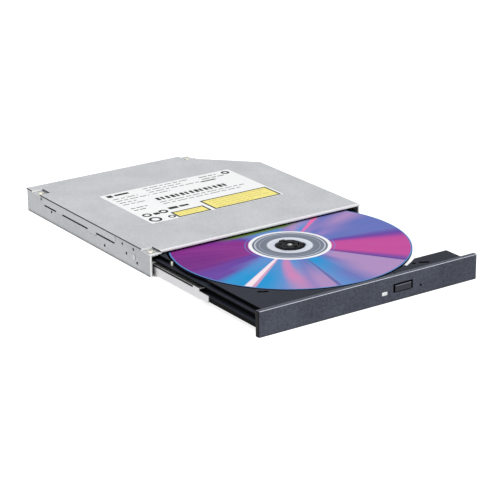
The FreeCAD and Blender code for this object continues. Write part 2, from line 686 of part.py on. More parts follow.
def tray_openings():
    """Windows in the tray's front wall, and the slot through which its flex passes."""
    cuts = [box(BUTTON_X0 - 1.5, BUTTON_X1 + 1.5, BACK - 1, BACK + 1.5, BUTTON_Z0 - 1.0, BUTTON_Z1 + 0.9),
            box(LIGHT_X0 - 0.3, LIGHT_X1 + 0.3, BACK - 1, BACK + 1.5, LIGHT_Z0 - 0.3, LIGHT_Z1 + 0.3),
            rod(vec(PINHOLE_X, BACK - 1, PINHOLE_Z), vec(PINHOLE_X, BACK + 1.5, PINHOLE_Z), 1.0),
            box(BAY_R - 0.5, BAY_R + 1.5, BACK + 23.5, BACK + 31.5, 7.2, DECK_Z)]
    cuts += [box(x - 2.3, x + 2.3, BACK - 1, BACK + 1.5, 5.7, 7.9) for x in HOOKS]
    return join(cuts[0], *cuts[1:])


def front_bezel():
    x0 = LEFT - 0.3
    x1 = RIGHT - 0.3
    face = BACK - BEZEL_T
    plate = box(x0, x1, face, BACK, 0.0, CASE_H + 0.05)
    plate = rounded(plate, 0.9, lambda e: upright(e) and e.Vertexes[0].Y < BACK - 1)
    plate = rounded(plate, 0.35, lambda e: max(v.Y for v in e.Vertexes) < face + 0.01
                    and abs(e.Vertexes[0].Z - e.Vertexes[-1].Z) < 1e-6)
    hole = box(BUTTON_X0 - BUTTON_GAP, BUTTON_X1 + BUTTON_GAP, face - 1, BACK + 1,
               BUTTON_Z0 - BUTTON_GAP, BUTTON_Z1 + BUTTON_GAP)
    recess = box(BUTTON_X0 - 0.9, BUTTON_X1 + 0.9, BACK - 0.95, BACK + 1, BUTTON_Z0 - 0.7, BUTTON_Z1 + 0.7)
    light = box(LIGHT_X0, LIGHT_X1, face - 1, BACK + 1, LIGHT_Z0, LIGHT_Z1)
    plate = plate.cut(hole).cut(recess).cut(light)
    pinhole = rod(vec(PINHOLE_X, face - 1, PINHOLE_Z), vec(PINHOLE_X, BACK + 1, PINHOLE_Z), PINHOLE_R)
    plate = plate.cut(pinhole)
    for x in HOOKS:
        stem = box(x - 2.0, x + 2.0, BACK - 0.1, BACK + 1.9, 6.0, 7.0)
        nib = box(x - 2.0, x + 2.0, BACK + 1.3, BACK + 1.9, 6.0, 7.7)
        plate = join(plate, stem, nib)
    return plate


def light_pipe():
    face = BACK - BEZEL_T
    body = box(LIGHT_X0, LIGHT_X1, face, BACK, LIGHT_Z0, LIGHT_Z1)
    tail = box(LIGHT_X0 + 0.6, LIGHT_X1 - 0.6, BACK - 0.1, BACK + 1.5, LIGHT_Z0 + 0.4, LIGHT_Z1 - 0.4)
    return join(body, tail)


def eject_button():
    face = BACK - BEZEL_T - 0.25
    cap = box(BUTTON_X0 + CAP_IN, BUTTON_X1 - CAP_IN, face, BACK - 0.8,
              BUTTON_Z0 + CAP_LOW, BUTTON_Z1 - CAP_HIGH)
    cap = rounded(cap, 0.3, lambda e: max(v.Y for v in e.Vertexes) < face + 0.01)
    flange = box(BUTTON_X0 - 0.65, BUTTON_X1 + 0.65, BACK - 0.9, BACK - 0.3,
                 BUTTON_Z0 - 0.5, BUTTON_Z1 + 0.5)
    mid = (BUTTON_X0 + BUTTON_X1) / 2
    stem = box(mid - 2.0, mid + 2.0, BACK - 0.4, BACK + 0.7, BUTTON_Z0 + 0.9, BUTTON_Z1 - 0.9)
    return join(cap, flange, stem)


def tray_board():
    points = [(-22.0, 1.8), (BAY_R - 0.6, 1.8), (BAY_R - 0.6, 33.0), (14.0, 33.0), (14.0, 17.0), (5.0, 17.0),
              (-8.0, 30.0), (-20.0, 18.0)]
    return prism([(x, BACK + d) for x, d in points], BOARD2_Z, BOARD2_Z + BOARD2_T)


def front_board_parts():
    """The eject switch, the light and two flex sockets, soldered on the front board."""
    mid = (BUTTON_X0 + BUTTON_X1) / 2
    z0 = BOARD2_Z + BOARD2_T
    body = box(mid - 3.0, mid + 3.0, BACK + 2.4, BACK + 5.6, z0, 7.6)
    switch = join(body, box(mid - 1.0, mid + 1.0, BACK + 1.7, BACK + 2.5, 5.8, 7.2))
    light = (LIGHT_X0 + LIGHT_X1) / 2
    led = box(light - 1.5, light + 1.5, BACK + 1.9, BACK + 3.3, z0, LIGHT_Z1)
    board = box(16.5, 19.5, BACK + 22.6, BACK + 32.4, z0, z0 + 1.2)
    board = board.cut(box(17.8, 18.2, BACK + 23.7, BACK + 31.3, z0 + 0.4, 10))
    pickup = on_traverse(box(LENS_MID - 6.3, LENS_MID + 6.3, 19.3, 22.3, z0, z0 + 1.1))
    pickup = pickup.cut(on_traverse(box(LENS_MID - 5.6, LENS_MID + 5.6, 19.0, 20.6, z0 + 0.4, z0 + 0.7)))
    return [switch, led, board, pickup]


def tray_flex_socket():
    """The socket under the deck in which the main flex ends."""
    back = BACK + TRAY_SOCKET_BACK
    high = box(FLEX_X0 - 0.8, FLEX_X1 + 0.8, back - 4.0, back, 6.0, DECK_Z)
    high = high.cut(box(FLEX_X0 - 0.1, FLEX_X1 + 0.1, back - 1.2, back + 1,
                        FLEX_HIGH_Z - FLEX_T / 2 - 0.02, FLEX_HIGH_Z + FLEX_T / 2 + 0.02))
    return high


def tray_flex():
    """A flat flex under the deck from the main flex's socket to the front board."""
    z0 = DECK_Z - 0.5
    x0 = FLEX_X0 + 0.2
    flat = [(x0, 86.0), (x0 + 7.0, 86.0), (x0 + 7.0, 24.0), (17.94, 24.0), (17.94, 31.0), (x0, 31.0)]
    sheet = prism([(x, BACK + d) for x, d in flat], z0, z0 + 0.12)
    drop = box(17.94, 18.06, BACK + 24.0, BACK + 31.0, BOARD2_Z + BOARD2_T + 0.5, z0 + 0.12)
    return join(sheet, drop)


def bottom_shield():
    sheet = box(TRAY_WALL_L, SHIELD_X1, BACK + 0.3, BACK + SHIELD_BACK, SHIELD_Z, SHIELD_Z + SHIELD_T)
    for x, y in shield_screw_places():
        sheet = sheet.cut(cyl(x, y, 0, 3, M2_TAP_R + 0.05))
    vents = [slot(x, BACK + 60.0, 0, 3, 0.8, 0.01, 5.0) for x in (-48.0, -44.0, -40.0)]
    return sheet.cut(join(vents[0], *vents[1:]))


def shield_screws():
    places = shield_screw_places()
    return [screw(x, y, SHIELD_Z, 5.0, down=False, r=M2_TAP_R - 0.02, head=1.5).common(
        cyl(x, y, SHIELD_Z - 0.35, 6, 2)) for x, y in places]


# Traverse: the frame that carries the spindle and the pickup, drawn along the lens's travel
FRAME = [(-17.0, -19.5), (60.3, -19.5), (66.3, -13.5), (66.3, 15.5), (-17.0, 15.5)]
POSTS = [(-15.3, 11.0), (-8.0, -17.6)]
SIDE_POST = (53.0, 14.8)
PLATE_Z = DECK_Z + 0.2
PLATE_T = 0.5
MOTOR_R = 2.8


def traverse_base():
    base = prism(FRAME, FRAME_Z, FRAME_Z + 1.4)
    opening = box(13.5, 64.3, -18.0, 14.0, 0, 10).fuse(box(9.0, 14.0, -9.0, 9.0, 0, 10))
    motor_room = box(-5.0, 7.5, -19.6, -12.7, 0, 10)
    base = base.cut(cyl(0, 0, 0, 10, ROTOR_R + 0.6)).cut(opening)
    ends = [box(64.3, 66.3, -14.2, 15.5, FRAME_Z, 7.0),
            box(11.5, 13.5, ROD_V - 2.2, ROD_V + 2.2, FRAME_Z, 7.2),
            box(11.5, 13.5, -ROD_V - 2.2, -ROD_V + 2.2, FRAME_Z, 7.2)]
    posts = [cyl(u, v, FRAME_Z, PLATE_Z, 1.3) for u, v in POSTS]
    posts += [cyl(*SIDE_POST, FRAME_Z, PLATE_Z, 0.65)]
    ears = [cyl(u, v, FRAME_Z + 1.0, FRAME_Z + 2.0, 3.6) for u, v in DAMPERS]
    necks = [box(u - 3.0, u + 3.0, min(v, math.copysign(14.5, v)), max(v, math.copysign(14.5, v)),
                 FRAME_Z + 1.0, FRAME_Z + 1.4) for u, v in DAMPERS]
    base = join(base, *ends, *posts, *ears, *necks).cut(motor_room)
    for u, v in DAMPERS:
        base = base.cut(cyl(u, v, 0, 10, 2.15))
        base = base.cut(cyl(u, v, 0, FRAME_Z + 1.0, 3.1)).cut(cyl(u, v, FRAME_Z + 2.0, 10, 3.1))
    for u, v in POSTS:
        base = base.cut(cyl(u, v, PLATE_Z - 3.0, 10, 0.6))
    base = base.cut(rod(vec(11.0, -ROD_V, ROD_Z), vec(67, -ROD_V, ROD_Z), ROD_R))
    base = base.cut(rod(vec(11.0, ROD_V, ROD_Z), vec(67, ROD_V, ROD_Z), SUB_ROD_R))
    return on_traverse(base)


def guide_rods():
    return [on_traverse(rod(vec(11.5, v, ROD_Z), vec(66.3, v, ROD_Z), r))
            for v, r in ((-ROD_V, ROD_R), (ROD_V, SUB_ROD_R))]


def damper_grommets():
    bushes = []
    for u, v in DAMPERS:
        x, y = traverse_point(u, v)
        body = join(cyl(x, y, 2.55, 5.2, 2.1), cyl(x, y, 2.55, FRAME_Z + 1.0, 2.9),
                    cyl(x, y, FRAME_Z + 2.0, 5.2, 2.9))
        bushes.append(body.cut(cyl(x, y, 0, 10, SCREW_R)))
    return bushes


def damper_screws():
    screws = []
    for u, v in DAMPERS:
        x, y = traverse_point(u, v)
        screws.append(screw(x, y, 2.55, DECK_Z - 1.6, down=False, r=SCREW_R - 0.02, head=2.4))
    return screws


def window_plate():
    """The black cover around the turntable and the lens's slot."""
    plate = window_shape(0, PLATE_Z, PLATE_Z + PLATE_T)
    plate = plate.cut(cyl(0, 0, 0, 12, TABLE_R + 0.7))
    lens_slot = box(LENS_NEAR - 9.0, DISC_R, -8.0, 8.0, 0, 12)
    plate = plate.cut(lens_slot)
    for u, v in POSTS:
        plate = plate.cut(cyl(u, v, 0, 12, 0.7))
    return on_traverse(plate)


def tray_screws():
    return shield_screws() + damper_screws() + plate_screws()


def plate_screws():
    top = PLATE_Z + PLATE_T
    screws = []
    for u, v in POSTS:
        x, y = traverse_point(u, v)
        screws.append(join(cyl(x, y, top, top + 0.35, 1.3), cyl(x, y, top - 2.5, top + 0.1, 0.58)))
    return screws


def sled_motor():
    """A small stepping motor and the bracket that also holds the far end of its screw."""
    can = rod(vec(-4.0, SCREW_V, ROD_Z), vec(6.0, SCREW_V, ROD_Z), MOTOR_R)
    near = box(6.0, 6.8, -18.9, SCREW_V + 2.3, 3.6, 7.8)
    far = box(57.6, 58.4, -18.9, SCREW_V + 1.6, 3.6, 7.0)
    strip = box(6.0, 58.4, -19.4, -18.1, 3.6, 4.2)
    bracket = join(near, far, strip)
    bracket = bracket.cut(rod(vec(5, SCREW_V, ROD_Z), vec(60, SCREW_V, ROD_Z), SCREW_R + FIT))
    shaft_room = rod(vec(3.0, SCREW_V, ROD_Z), vec(7, SCREW_V, ROD_Z), SCREW_R + FIT)
    return on_traverse(join(can.cut(shaft_room), bracket))


SCREW_U0 = 3.2
SCREW_U1 = 58.3
THREAD_U0 = 7.2
THREAD_U1 = 57.2
GROOVE = 0.35


def lead_screw():
    """A shaft with one helical groove; the groove meets the rack's teeth at rest."""
    shaft = Part.makeCylinder(SCREW_R, SCREW_U1 - SCREW_U0, vec(0, 0, SCREW_U0))
    length = THREAD_U1 - THREAD_U0
    helix = Part.makeHelix(SCREW_PITCH, length, SCREW_R)
    profile = Part.makePolygon([vec(SCREW_R - GROOVE, 0, -0.35), vec(SCREW_R + 0.3, 0, -0.75),
                                vec(SCREW_R + 0.3, 0, 0.75), vec(SCREW_R - GROOVE, 0, 0.35),
                                vec(SCREW_R - GROOVE, 0, -0.35)])
    cutter = Part.Wire(helix.Edges).makePipeShell([profile], True, True)
    cutter.translate(vec(0, 0, THREAD_U0))
    shaft = shaft.cut(cutter)
    shaft.rotate(vec(0, 0), vec(0, 1, 0), 90)
    shaft.translate(vec(0, SCREW_V, ROD_Z))
    return on_traverse(shaft)


def groove_u(turn):
    """Where along the travel the groove's middle lies on the side that faces the deck."""
    # The groove starts facing down at THREAD_U0 and faces up half a turn on.
    return THREAD_U0 + SCREW_PITCH * (0.5 + turn)


# Pickup, drawn along the lens's travel at its middle place
SLED_U0 = LENS_MID - 9.0
SLED_U1 = LENS_MID + 6.0
SLED_Z0 = 2.6
SLED_Z1 = 7.6
BORE = ROD_R + FIT


def pickup_body():
    body = box(SLED_U0, SLED_U1, -9.5, 9.0, SLED_Z0, SLED_Z1)
    arms = [box(SLED_U0, SLED_U0 + 3.5, -ROD_V - 2.3, -9.4, 3.0, 7.4),
            box(SLED_U1 - 3.5, SLED_U1, -ROD_V - 2.3, -9.4, 3.0, 7.4),
            box(LENS_MID - 2.0, LENS_MID + 2.0, 8.9, ROD_V + 1.6, 3.1, 7.3)]
    body = join(body, *arms)
    body = body.cut(rod(vec(SLED_U0 - 1, -ROD_V, ROD_Z), vec(SLED_U1 + 1, -ROD_V, ROD_Z), BORE))
    gap = SUB_ROD_R + FIT
    body = body.cut(box(LENS_MID - 3, LENS_MID + 3, ROD_V - gap - 0.2, ROD_V + 2, ROD_Z - gap, ROD_Z + gap))
    well = box(LENS_MID - 4.6, LENS_MID + 4.6, -6.0, 6.0, 5.4, 10)
    light_path = cyl(LENS_MID, 0, 4.0, 6, 2.0)
    body = body.cut(well).cut(light_path)
    for v in (-6.2, 6.2):
        body = body.cut(rod(vec(SLED_U0 - 1, v, 4.7), vec(SLED_U0 + 2.0, v, 4.7), 1.9))
    return on_traverse(body)


def pickup_cover():
    return on_traverse(box(SLED_U0 + 1, SLED_U1 - 1, -9.0, 8.4, SLED_Z0 - 0.3, SLED_Z0))


def laser_diodes():
    cans = []
    for v in (-6.2, 6.2):
        can = rod(vec(SLED_U0 - 1.2, v, 4.7), vec(SLED_U0 + 2.0, v, 4.7), 1.85)
        pins = [rod(vec(SLED_U0 - 1.8, v + p, 4.7), vec(SLED_U0 - 1.2, v + p, 4.7), 0.2)
                for p in (-0.9, 0, 0.9)]
        cans.append(join(can, *pins))
    return [on_traverse(can) for can in cans]


def detector_board():
    return on_traverse(box(LENS_MID - 8.0, LENS_MID - 3.0, 9.0, 9.6, 3.2, 6.6))


def rack_nut():
    """A clip on the pickup whose two teeth ride in the lead screw's groove."""
    turn = round((SLED_U0 + 4.2 - THREAD_U0) / SCREW_PITCH - 0.5)
    first = groove_u(turn)
    low = ROD_Z + ROD_R + 0.15
    plate = box(SLED_U0 + 3.6, SLED_U0 + 7.8, SCREW_V - 1.2, -9.5, low, low + 0.5)
    foot = ROD_Z + SCREW_R - GROOVE + 0.1
    teeth = [box(u - 0.25, u + 0.25, SCREW_V - 0.3, SCREW_V + 0.3, foot, low + 0.05)
             for u in (first, first + SCREW_PITCH)]
    return on_traverse(join(plate, *teeth))


def actuator_magnets():
    return [on_traverse(box(LENS_MID - 2.6, LENS_MID + 2.6, -6.0, -5.1, 5.4, 7.5)),
            on_traverse(box(LENS_MID - 2.6, LENS_MID + 2.6, 5.1, 6.0, 5.4, 7.5))]


def lens_holder():
    body = box(LENS_MID - 3.4, LENS_MID + 3.4, -4.5, 4.5, 6.0, 8.0)
    ears = box(LENS_MID - 4.1, LENS_MID + 4.1, -4.5, -3.6, 6.2, 7.8)
    return on_traverse(join(body, ears).cut(cyl(LENS_MID, 0, 5, 10, 2.2)))


def objective_lens():
    flat = cyl(LENS_MID, 0, 6.8, 7.8, 2.2)
    ball = Part.makeSphere(3.6, vec(LENS_MID, 0, 5.15), vec(1, 0, 0), -90, 90, 360)
    dome = ball.common(cyl(LENS_MID, 0, 7.5, 9, 2.0))
    return on_traverse(join(flat, dome))


def suspension_wires():
    wires = []
    for side in (-1, 1):
        u = LENS_MID + side * 3.85
        wires.append(box(u - 0.5, u + 0.5, 5.1, 6.0, 5.4, 7.55))
        for z in (6.5, 7.3):
            wires.append(rod(vec(u, -3.6, z), vec(u, 5.1, z), 0.07))
    first = join(*wires[:3])
    second = join(*wires[3:])
    return [on_traverse(first), on_traverse(second)]


def pickup_flex():
    """A flex from the pickup's side, under the frame, to its socket on the front board."""
    z0 = BOARD2_Z + BOARD2_T
    path = [(9.02, 2.85), (10.4, 2.85), (12.0, 1.8), (16.4, 1.8), (18.0, z0 + 0.55), (20.5, z0 + 0.55)]
    strip = prism_x(ribbon(path, 0.12), LENS_MID - 5.4, LENS_MID + 5.4)
    return on_traverse(strip)


# Spindle
def spindle_base():
    plate = box(-13.5, 12.8, -13.0, 13.0, FRAME_Z - 0.5, FRAME_Z)
    rim = join(plate, cyl(0, 0, FRAME_Z - 0.5, FRAME_Z, 13.6))
    return on_traverse(rim)


def stator_core():
    ring = tube(0, 0, 4.2, 5.6, 4.6, 3.12)
    teeth = []
    for i in range(9):
        tooth = join(box(4.4, 8.6, -0.6, 0.6, 4.2, 5.6), box(8.6, 9.5, -2.2, 2.2, 4.2, 5.6))
        tooth.rotate(vec(0, 0), vec(0, 0, 1), i * 40)
        teeth.append(tooth)
    seat = tube(0, 0, FRAME_Z, 4.3, 4.4, 3.12)
    return on_traverse(join(ring, *teeth, seat))


def stator_coils():
    coils = []
    for i in range(9):
        winding = box(4.9, 8.3, -1.35, 1.35, 3.5, 6.3).cut(box(0, 10, -0.6, 0.6, 4.2, 5.6))
        winding = winding.cut(cyl(0, 0, 0, 10, 5.0))
        winding.rotate(vec(0, 0), vec(0, 0, 1), i * 40)
        coils.append(on_traverse(winding))
    return coils


def spindle_bearing():
    return tube(HUB_X, HUB_Y, FRAME_Z, 6.6, 3.1, SHAFT_R + FIT)


def spindle_shaft():
    return cyl(HUB_X, HUB_Y, FRAME_Z + 0.2, TABLE_Z + 1.0, SHAFT_R)


def spindle_rotor():
    """The motor's steel bell and the ring magnet inside it."""
    bell = cyl(HUB_X, HUB_Y, 3.0, 7.6, ROTOR_R)
    room = cyl(HUB_X, HUB_Y, 2.0, 6.9, ROTOR_R - 0.6)
    bell = bell.cut(room).cut(cyl(HUB_X, HUB_Y, 0, 10, SHAFT_R))
    return [bell, tube(HUB_X, HUB_Y, 3.2, 6.6, ROTOR_R - 0.6, ROTOR_R - 1.9)]


def turntable():
    table = join(cyl(HUB_X, HUB_Y, 7.6, 8.1, ROTOR_R - 0.4), cyl(HUB_X, HUB_Y, 8.0, TABLE_Z, TABLE_R))
    return table.cut(cyl(HUB_X, HUB_Y, 0, 12, SHAFT_R))


def turntable_pad():
    return tube(HUB_X, HUB_Y, TABLE_Z, DISC_Z, TABLE_R - 0.2, TABLE_R - 3.6)


HUB_R = DISC_HOLE_R - HUB_GAP
HUB_TOP = DISC_TOP + 0.65
CLAW_ANGLES = [90.0, 210.0, 330.0]
CLAW_W = 2.6
CLAW_NOSE = 0.4


def hub():
    drum = cyl(HUB_X, HUB_Y, TABLE_Z, DISC_TOP, HUB_R)
    cone = Part.makeCone(HUB_R, HUB_R - 1.3, HUB_TOP - DISC_TOP, vec(HUB_X, HUB_Y, DISC_TOP))
    body = join(drum, cone)
    body = body.cut(Part.makeCone(2.2, 3.0, 0.4, vec(HUB_X, HUB_Y, HUB_TOP - 0.4)))
    body = body.cut(cyl(HUB_X, HUB_Y, 0, TABLE_Z + 1.0, SHAFT_R))
    for angle in CLAW_ANGLES:
        cut = box(3.9, HUB_R + 1, -CLAW_W / 2 - 0.2, CLAW_W / 2 + 0.2, TABLE_Z + 0.6, HUB_TOP + 1)
        cut.rotate(vec(0, 0), vec(0, 0, 1), angle)
        cut.translate(HUB)
        body = body.cut(cut)
    for angle in (30.0, 150.0, 270.0):
        dent = box(3.9, 5.6, -0.9, 0.9, HUB_TOP - 0.5, HUB_TOP + 1)
        dent.rotate(vec(0, 0), vec(0, 0, 1), angle)
        dent.translate(HUB)
        body = body.cut(dent)
    return body


def hub_claw(angle):
    """A catch that slides in the hub; its nose holds the disc's edge down."""
    nose_z = DISC_TOP + 0.08
    side = [(4.7, TABLE_Z + 0.7), (HUB_R - 0.15, TABLE_Z + 0.7), (HUB_R - 0.05, nose_z),
            (DISC_HOLE_R + CLAW_NOSE, nose_z), (HUB_R - 0.3, HUB_TOP + 0.1), (4.7, HUB_TOP + 0.1)]
    corners = [vec(x, -CLAW_W / 2, z) for x, z in side]
    claw = Part.Face(Part.makePolygon(corners + corners[:1])).extrude(vec(0, CLAW_W, 0))
    claw.rotate(vec(0, 0), vec(0, 0, 1), angle)
    claw.translate(HUB)
    return claw


def disc():
    body = cyl(HUB_X, HUB_Y, DISC_Z, DISC_TOP, DISC_R)
    body = body.cut(cyl(HUB_X, HUB_Y, 0, 20, DISC_HOLE_R))
    body = rounded(body, 0.15, lambda e: abs(e.Length - 2 * math.pi * DISC_R) < 0.1)
    ridge = tube(HUB_X, HUB_Y, DISC_Z - 0.15, DISC_Z + 0.1, 17.4, 16.8)
    groove = tube(HUB_X, HUB_Y, DISC_TOP - 0.12, DISC_TOP + 1, 18.4, 17.9)
    return join(body, ridge).cut(groove)


# Latch at the tray's right front
RELEASE = 18.0


def latch_lever():
    """A hook on a pivot, turned to its released place, with a tail in front of the magnet."""
    x0 = PIVOT_X
    y0 = BACK + PIVOT_BACK
    ring = cyl(x0, y0, 3.0, 6.0, 2.0)
    arm = box(x0 - 0.8, x0 + 0.7, y0, y0 + 7.8, 3.0, 5.2)
    hook = box(x0 - 2.9, x0 + 0.7, y0 + 6.3, y0 + 7.8, 3.0, 5.2)
    tail = prism([(x0, y0 - 1.2), (x0, y0 + 1.2), (x0 - 11.3, y0 + 1.9), (x0 - 11.3, y0 + 0.5)], 3.4, 5.6)
    plate = box(x0 - 11.3, x0 - 6.6, y0 + 1.5, y0 + 2.2, 3.0, 6.6)
    lever = join(ring, arm, hook, tail, plate).cut(cyl(x0, y0, 0, 10, PIVOT_R + FIT))
    lever.rotate(vec(x0, y0), vec(0, 0, 1), -RELEASE)
    return lever


def latch_spring():
    return coil(vec(PIVOT_X, BACK + PIVOT_BACK, 6.25), 0, 1.5, 0.2, 0.55, 3)


def latch_magnet():
    """A holding magnet: a core with two poles and a wound bobbin, hung from the deck."""
    x0 = BAY_R + 2.2
    y0 = BACK + 10.1
    core = box(x0, x0 + 7.0, y0 + 1.8, y0 + 2.8, 3.0, DECK_Z)
    poles = [box(x0, x0 + 1.6, y0, y0 + 2.0, 3.2, 6.4), box(x0 + 5.4, x0 + 7.0, y0, y0 + 2.0, 3.2, 6.4)]
    winding = box(x0 + 1.9, x0 + 5.1, y0 + 0.2, y0 + 1.8, 3.0, 6.6)
    return join(core, *poles, winding)


def emergency_slider():
    head = box(PINHOLE_X - 0.6, PINHOLE_X + 1.6, BACK + 1.5, BACK + 4.2, 3.6, 5.8)
    carrier = box(PINHOLE_X - 0.6, PINHOLE_X + 0.6, BACK + 1.5, BACK + 4.2, 3.6, DECK_Z - 0.1)
    return join(head, carrier)


CASE_NODES = [
    ("bottom_case", bottom_case), ("top_cover", top_cover), ("cover_screws", cover_screws),
    ("rating_label", rating_label), ("latch_post", latch_post), ("main_board", main_board),
    ("board_screws", board_screws), ("board_parts", board_parts), ("rear_connector", rear_connector),
    ("connector_contacts", connector_contacts), ("ejector_pin", ejector_pin),
    ("ejector_spring", ejector_spring), ("main_flex", main_flex),
]
TRAY_NODES = [
    ("tray", tray), ("front_bezel", front_bezel), ("light_pipe", light_pipe),
    ("eject_button", eject_button), ("tray_board", tray_board),
    ("front_board_parts", front_board_parts), ("tray_flex_socket", tray_flex_socket),
    ("tray_flex", tray_flex), ("bottom_shield", bottom_shield), ("tray_screws", tray_screws),
    ("window_plate", window_plate), ("latch_lever", latch_lever), ("latch_spring", latch_spring),
    ("latch_magnet", latch_magnet), ("emergency_slider", emergency_slider),
]
TRAVERSE_NODES = [
    ("traverse_base", traverse_base), ("guide_rods", guide_rods),
    ("damper_grommets", damper_grommets), ("sled_motor", sled_motor), ("lead_screw", lead_screw),
    ("spindle_base", spindle_base), ("stator_core", stator_core), ("stator_coils", stator_coils),
    ("spindle_bearing", spindle_bearing), ("pickup_flex", pickup_flex),
]
PICKUP_NODES = [
    ("pickup_body", pickup_body), ("pickup_cover", pickup_cover), ("laser_diodes", laser_diodes),
    ("detector_board", detector_board), ("rack_nut", rack_nut),
    ("actuator_magnets", actuator_magnets), ("lens_holder", lens_holder),
    ("objective_lens", objective_lens), ("suspension_wires", suspension_wires),
]
SPINDLE_NODES = [
    ("spindle_shaft", spindle_shaft), ("spindle_rotor", spindle_rotor), ("turntable", turntable),
    ("turntable_pad", turntable_pad), ("hub", hub), ("disc", disc),
]

for name, make in CASE_NODES + TRAY_NODES + TRAVERSE_NODES + PICKUP_NODES + SPINDLE_NODES:
    made = make()
    save(name, *(made if isinstance(made, list) else [made]))

for word, side in (("left", -1), ("right", 1)):
    save("rail_guide_" + word, rail_guide(side))
    save("slide_rail_" + word, slide_rail(side))

for number, angle in enumerate(CLAW_ANGLES, 1):
    save("hub_claw_" + str(number), hub_claw(angle))
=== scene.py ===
import math

import bmesh
import bpy
from mathutils import Matrix, Vector


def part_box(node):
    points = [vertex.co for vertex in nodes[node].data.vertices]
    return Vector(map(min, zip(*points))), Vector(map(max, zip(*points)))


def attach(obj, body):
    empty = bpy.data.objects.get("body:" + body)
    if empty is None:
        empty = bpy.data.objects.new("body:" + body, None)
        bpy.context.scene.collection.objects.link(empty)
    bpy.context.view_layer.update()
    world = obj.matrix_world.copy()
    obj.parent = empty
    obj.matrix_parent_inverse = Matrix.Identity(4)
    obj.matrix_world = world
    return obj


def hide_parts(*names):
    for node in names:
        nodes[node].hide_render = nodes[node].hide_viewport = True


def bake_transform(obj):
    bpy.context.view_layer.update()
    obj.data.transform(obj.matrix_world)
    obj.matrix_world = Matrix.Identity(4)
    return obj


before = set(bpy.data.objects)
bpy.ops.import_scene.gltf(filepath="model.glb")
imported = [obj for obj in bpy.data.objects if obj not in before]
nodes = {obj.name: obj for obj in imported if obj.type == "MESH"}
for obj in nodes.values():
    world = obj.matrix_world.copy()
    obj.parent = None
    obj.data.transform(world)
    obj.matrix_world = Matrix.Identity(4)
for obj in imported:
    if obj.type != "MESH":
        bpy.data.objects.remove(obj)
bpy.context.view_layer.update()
MM = 0.001


# Bottom case
# A folded tray of galvanised steel sheet with punched slots and holes, open at the front. Its skin
# is dull and faintly mottled, in a darker copy of the lid's zinc that paints shade on its upright
# walls, with painted shade in its corners and slots. The sheared front edge of the mouth shows bare
# metal with a painted highlight, and the upward lips of the left wall's slots are painted near
# black as shade.
def paint(red, green, blue):
    """A colour written as it shows on a screen, from 0 to 255, made linear."""
    linear = []
    for level in (red, green, blue):
        share = level / 255
        linear.append(share / 12.92 if share <= 0.04045 else ((share + 0.055) / 1.055) ** 2.4)
    return (*linear, 1.0)


def scaled(colour, share):
    """The same hue, lighter or darker."""
    return (*[min(1.0, level * share) for level in colour[:3]], 1.0)


def feed(tree, value, socket):
    """Links a socket to a socket, or writes a plain value on it."""
    if isinstance(value, bpy.types.NodeSocket):
        tree.links.new(value, socket)
    else:
        socket.default_value = value


def put(tree, kind, settings=None, **inputs):
    """Adds a node. i0 is its first input; other names have _ for a space."""
    made = tree.nodes.new("ShaderNode" + kind)
    for name, value in (settings or {}).items():
        setattr(made, name, value)
    for name, value in inputs.items():
        key = int(name[1:]) if name[0] == "i" and name[1:].isdigit() else name.replace("_", " ")
        feed(tree, value, made.inputs[key])
    return made


def maths(tree, operation, first, second=0.0):
    return put(tree, "Math", {"operation": operation}, i0=first, i1=second).outputs[0]


def mixed(tree, share, first, second):
    """The first colour where share is 0, and the second where it is 1."""
    made = put(tree, "Mix", {"data_type": "RGBA"}, Factor=share)
    feed(tree, first, made.inputs[6])
    feed(tree, second, made.inputs[7])
    return made.outputs[2]


def ranged(tree, value, low, high, new_low=0.0, new_high=1.0):
    """A value carried over from one span to another, and held at its ends."""
    return put(tree, "MapRange", None, Value=value, From_Min=low, From_Max=high,
               To_Min=new_low, To_Max=new_high).outputs[0]


def product(tree, first, *others):
    """Several masks multiplied together."""
    for other in others:
        first = maths(tree, "MULTIPLY", first, other)
    return first


def coordinates(tree):
    """Sockets of the place of each point of the surface, in metres."""
    return put(tree, "SeparateXYZ", None, Vector=put(tree, "TexCoord").outputs["Object"]).outputs


def effect(name, inputs, outputs):
    """An empty shader group with its sockets, and the sockets of its two ends."""
    tree = bpy.data.node_groups.new(name, "ShaderNodeTree")
    for title, kind, value in inputs:
        socket = tree.interface.new_socket(title, in_out="INPUT", socket_type="NodeSocket" + kind)
        socket.default_value = value
    for title, kind in outputs:
        tree.interface.new_socket(title, in_out="OUTPUT", socket_type="NodeSocket" + kind)
    return tree, tree.nodes.new("NodeGroupInput").outputs, tree.nodes.new("NodeGroupOutput").inputs


# Grain that may be stretched along an axis, with broad patches
grain, given, end = effect("Grain", [("Scale", "Float", 1000.0), ("Stretch", "Vector", (1, 1, 1))],
                           [("Height", "Float"), ("Patch", "Float")])
spot = put(grain, "TexCoord").outputs["Object"]
placed = put(grain, "Mapping", None, Vector=spot, Scale=given["Stretch"]).outputs[0]
feed(grain, put(grain, "TexNoise", None, Vector=placed, Scale=given["Scale"], Detail=3.0).outputs[0],
     end["Height"])
feed(grain, put(grain, "TexNoise", None, Vector=spot, Scale=60.0, Detail=4.0).outputs[0], end["Patch"])

# Painted highlight where a sharp edge turns, within a width, and the rounded normal there
edge_highlight_group, given, end = effect("Edge highlight", [("Width", "Float", 0.0002), ("Amount", "Float", 1.0)],
                               [("Mask", "Float"), ("Normal", "Vector")])
soft = put(edge_highlight_group, "Bevel", {"samples": 4}, Radius=given["Width"]).outputs[0]
flat = put(edge_highlight_group, "NewGeometry").outputs["True Normal"]
turned = put(edge_highlight_group, "VectorMath", {"operation": "DOT_PRODUCT"}, i0=soft, i1=flat).outputs["Value"]
feed(edge_highlight_group, product(edge_highlight_group, ranged(edge_highlight_group, turned, 1.0, 0.84), given["Amount"]), end["Mask"])
feed(edge_highlight_group, soft, end["Normal"])
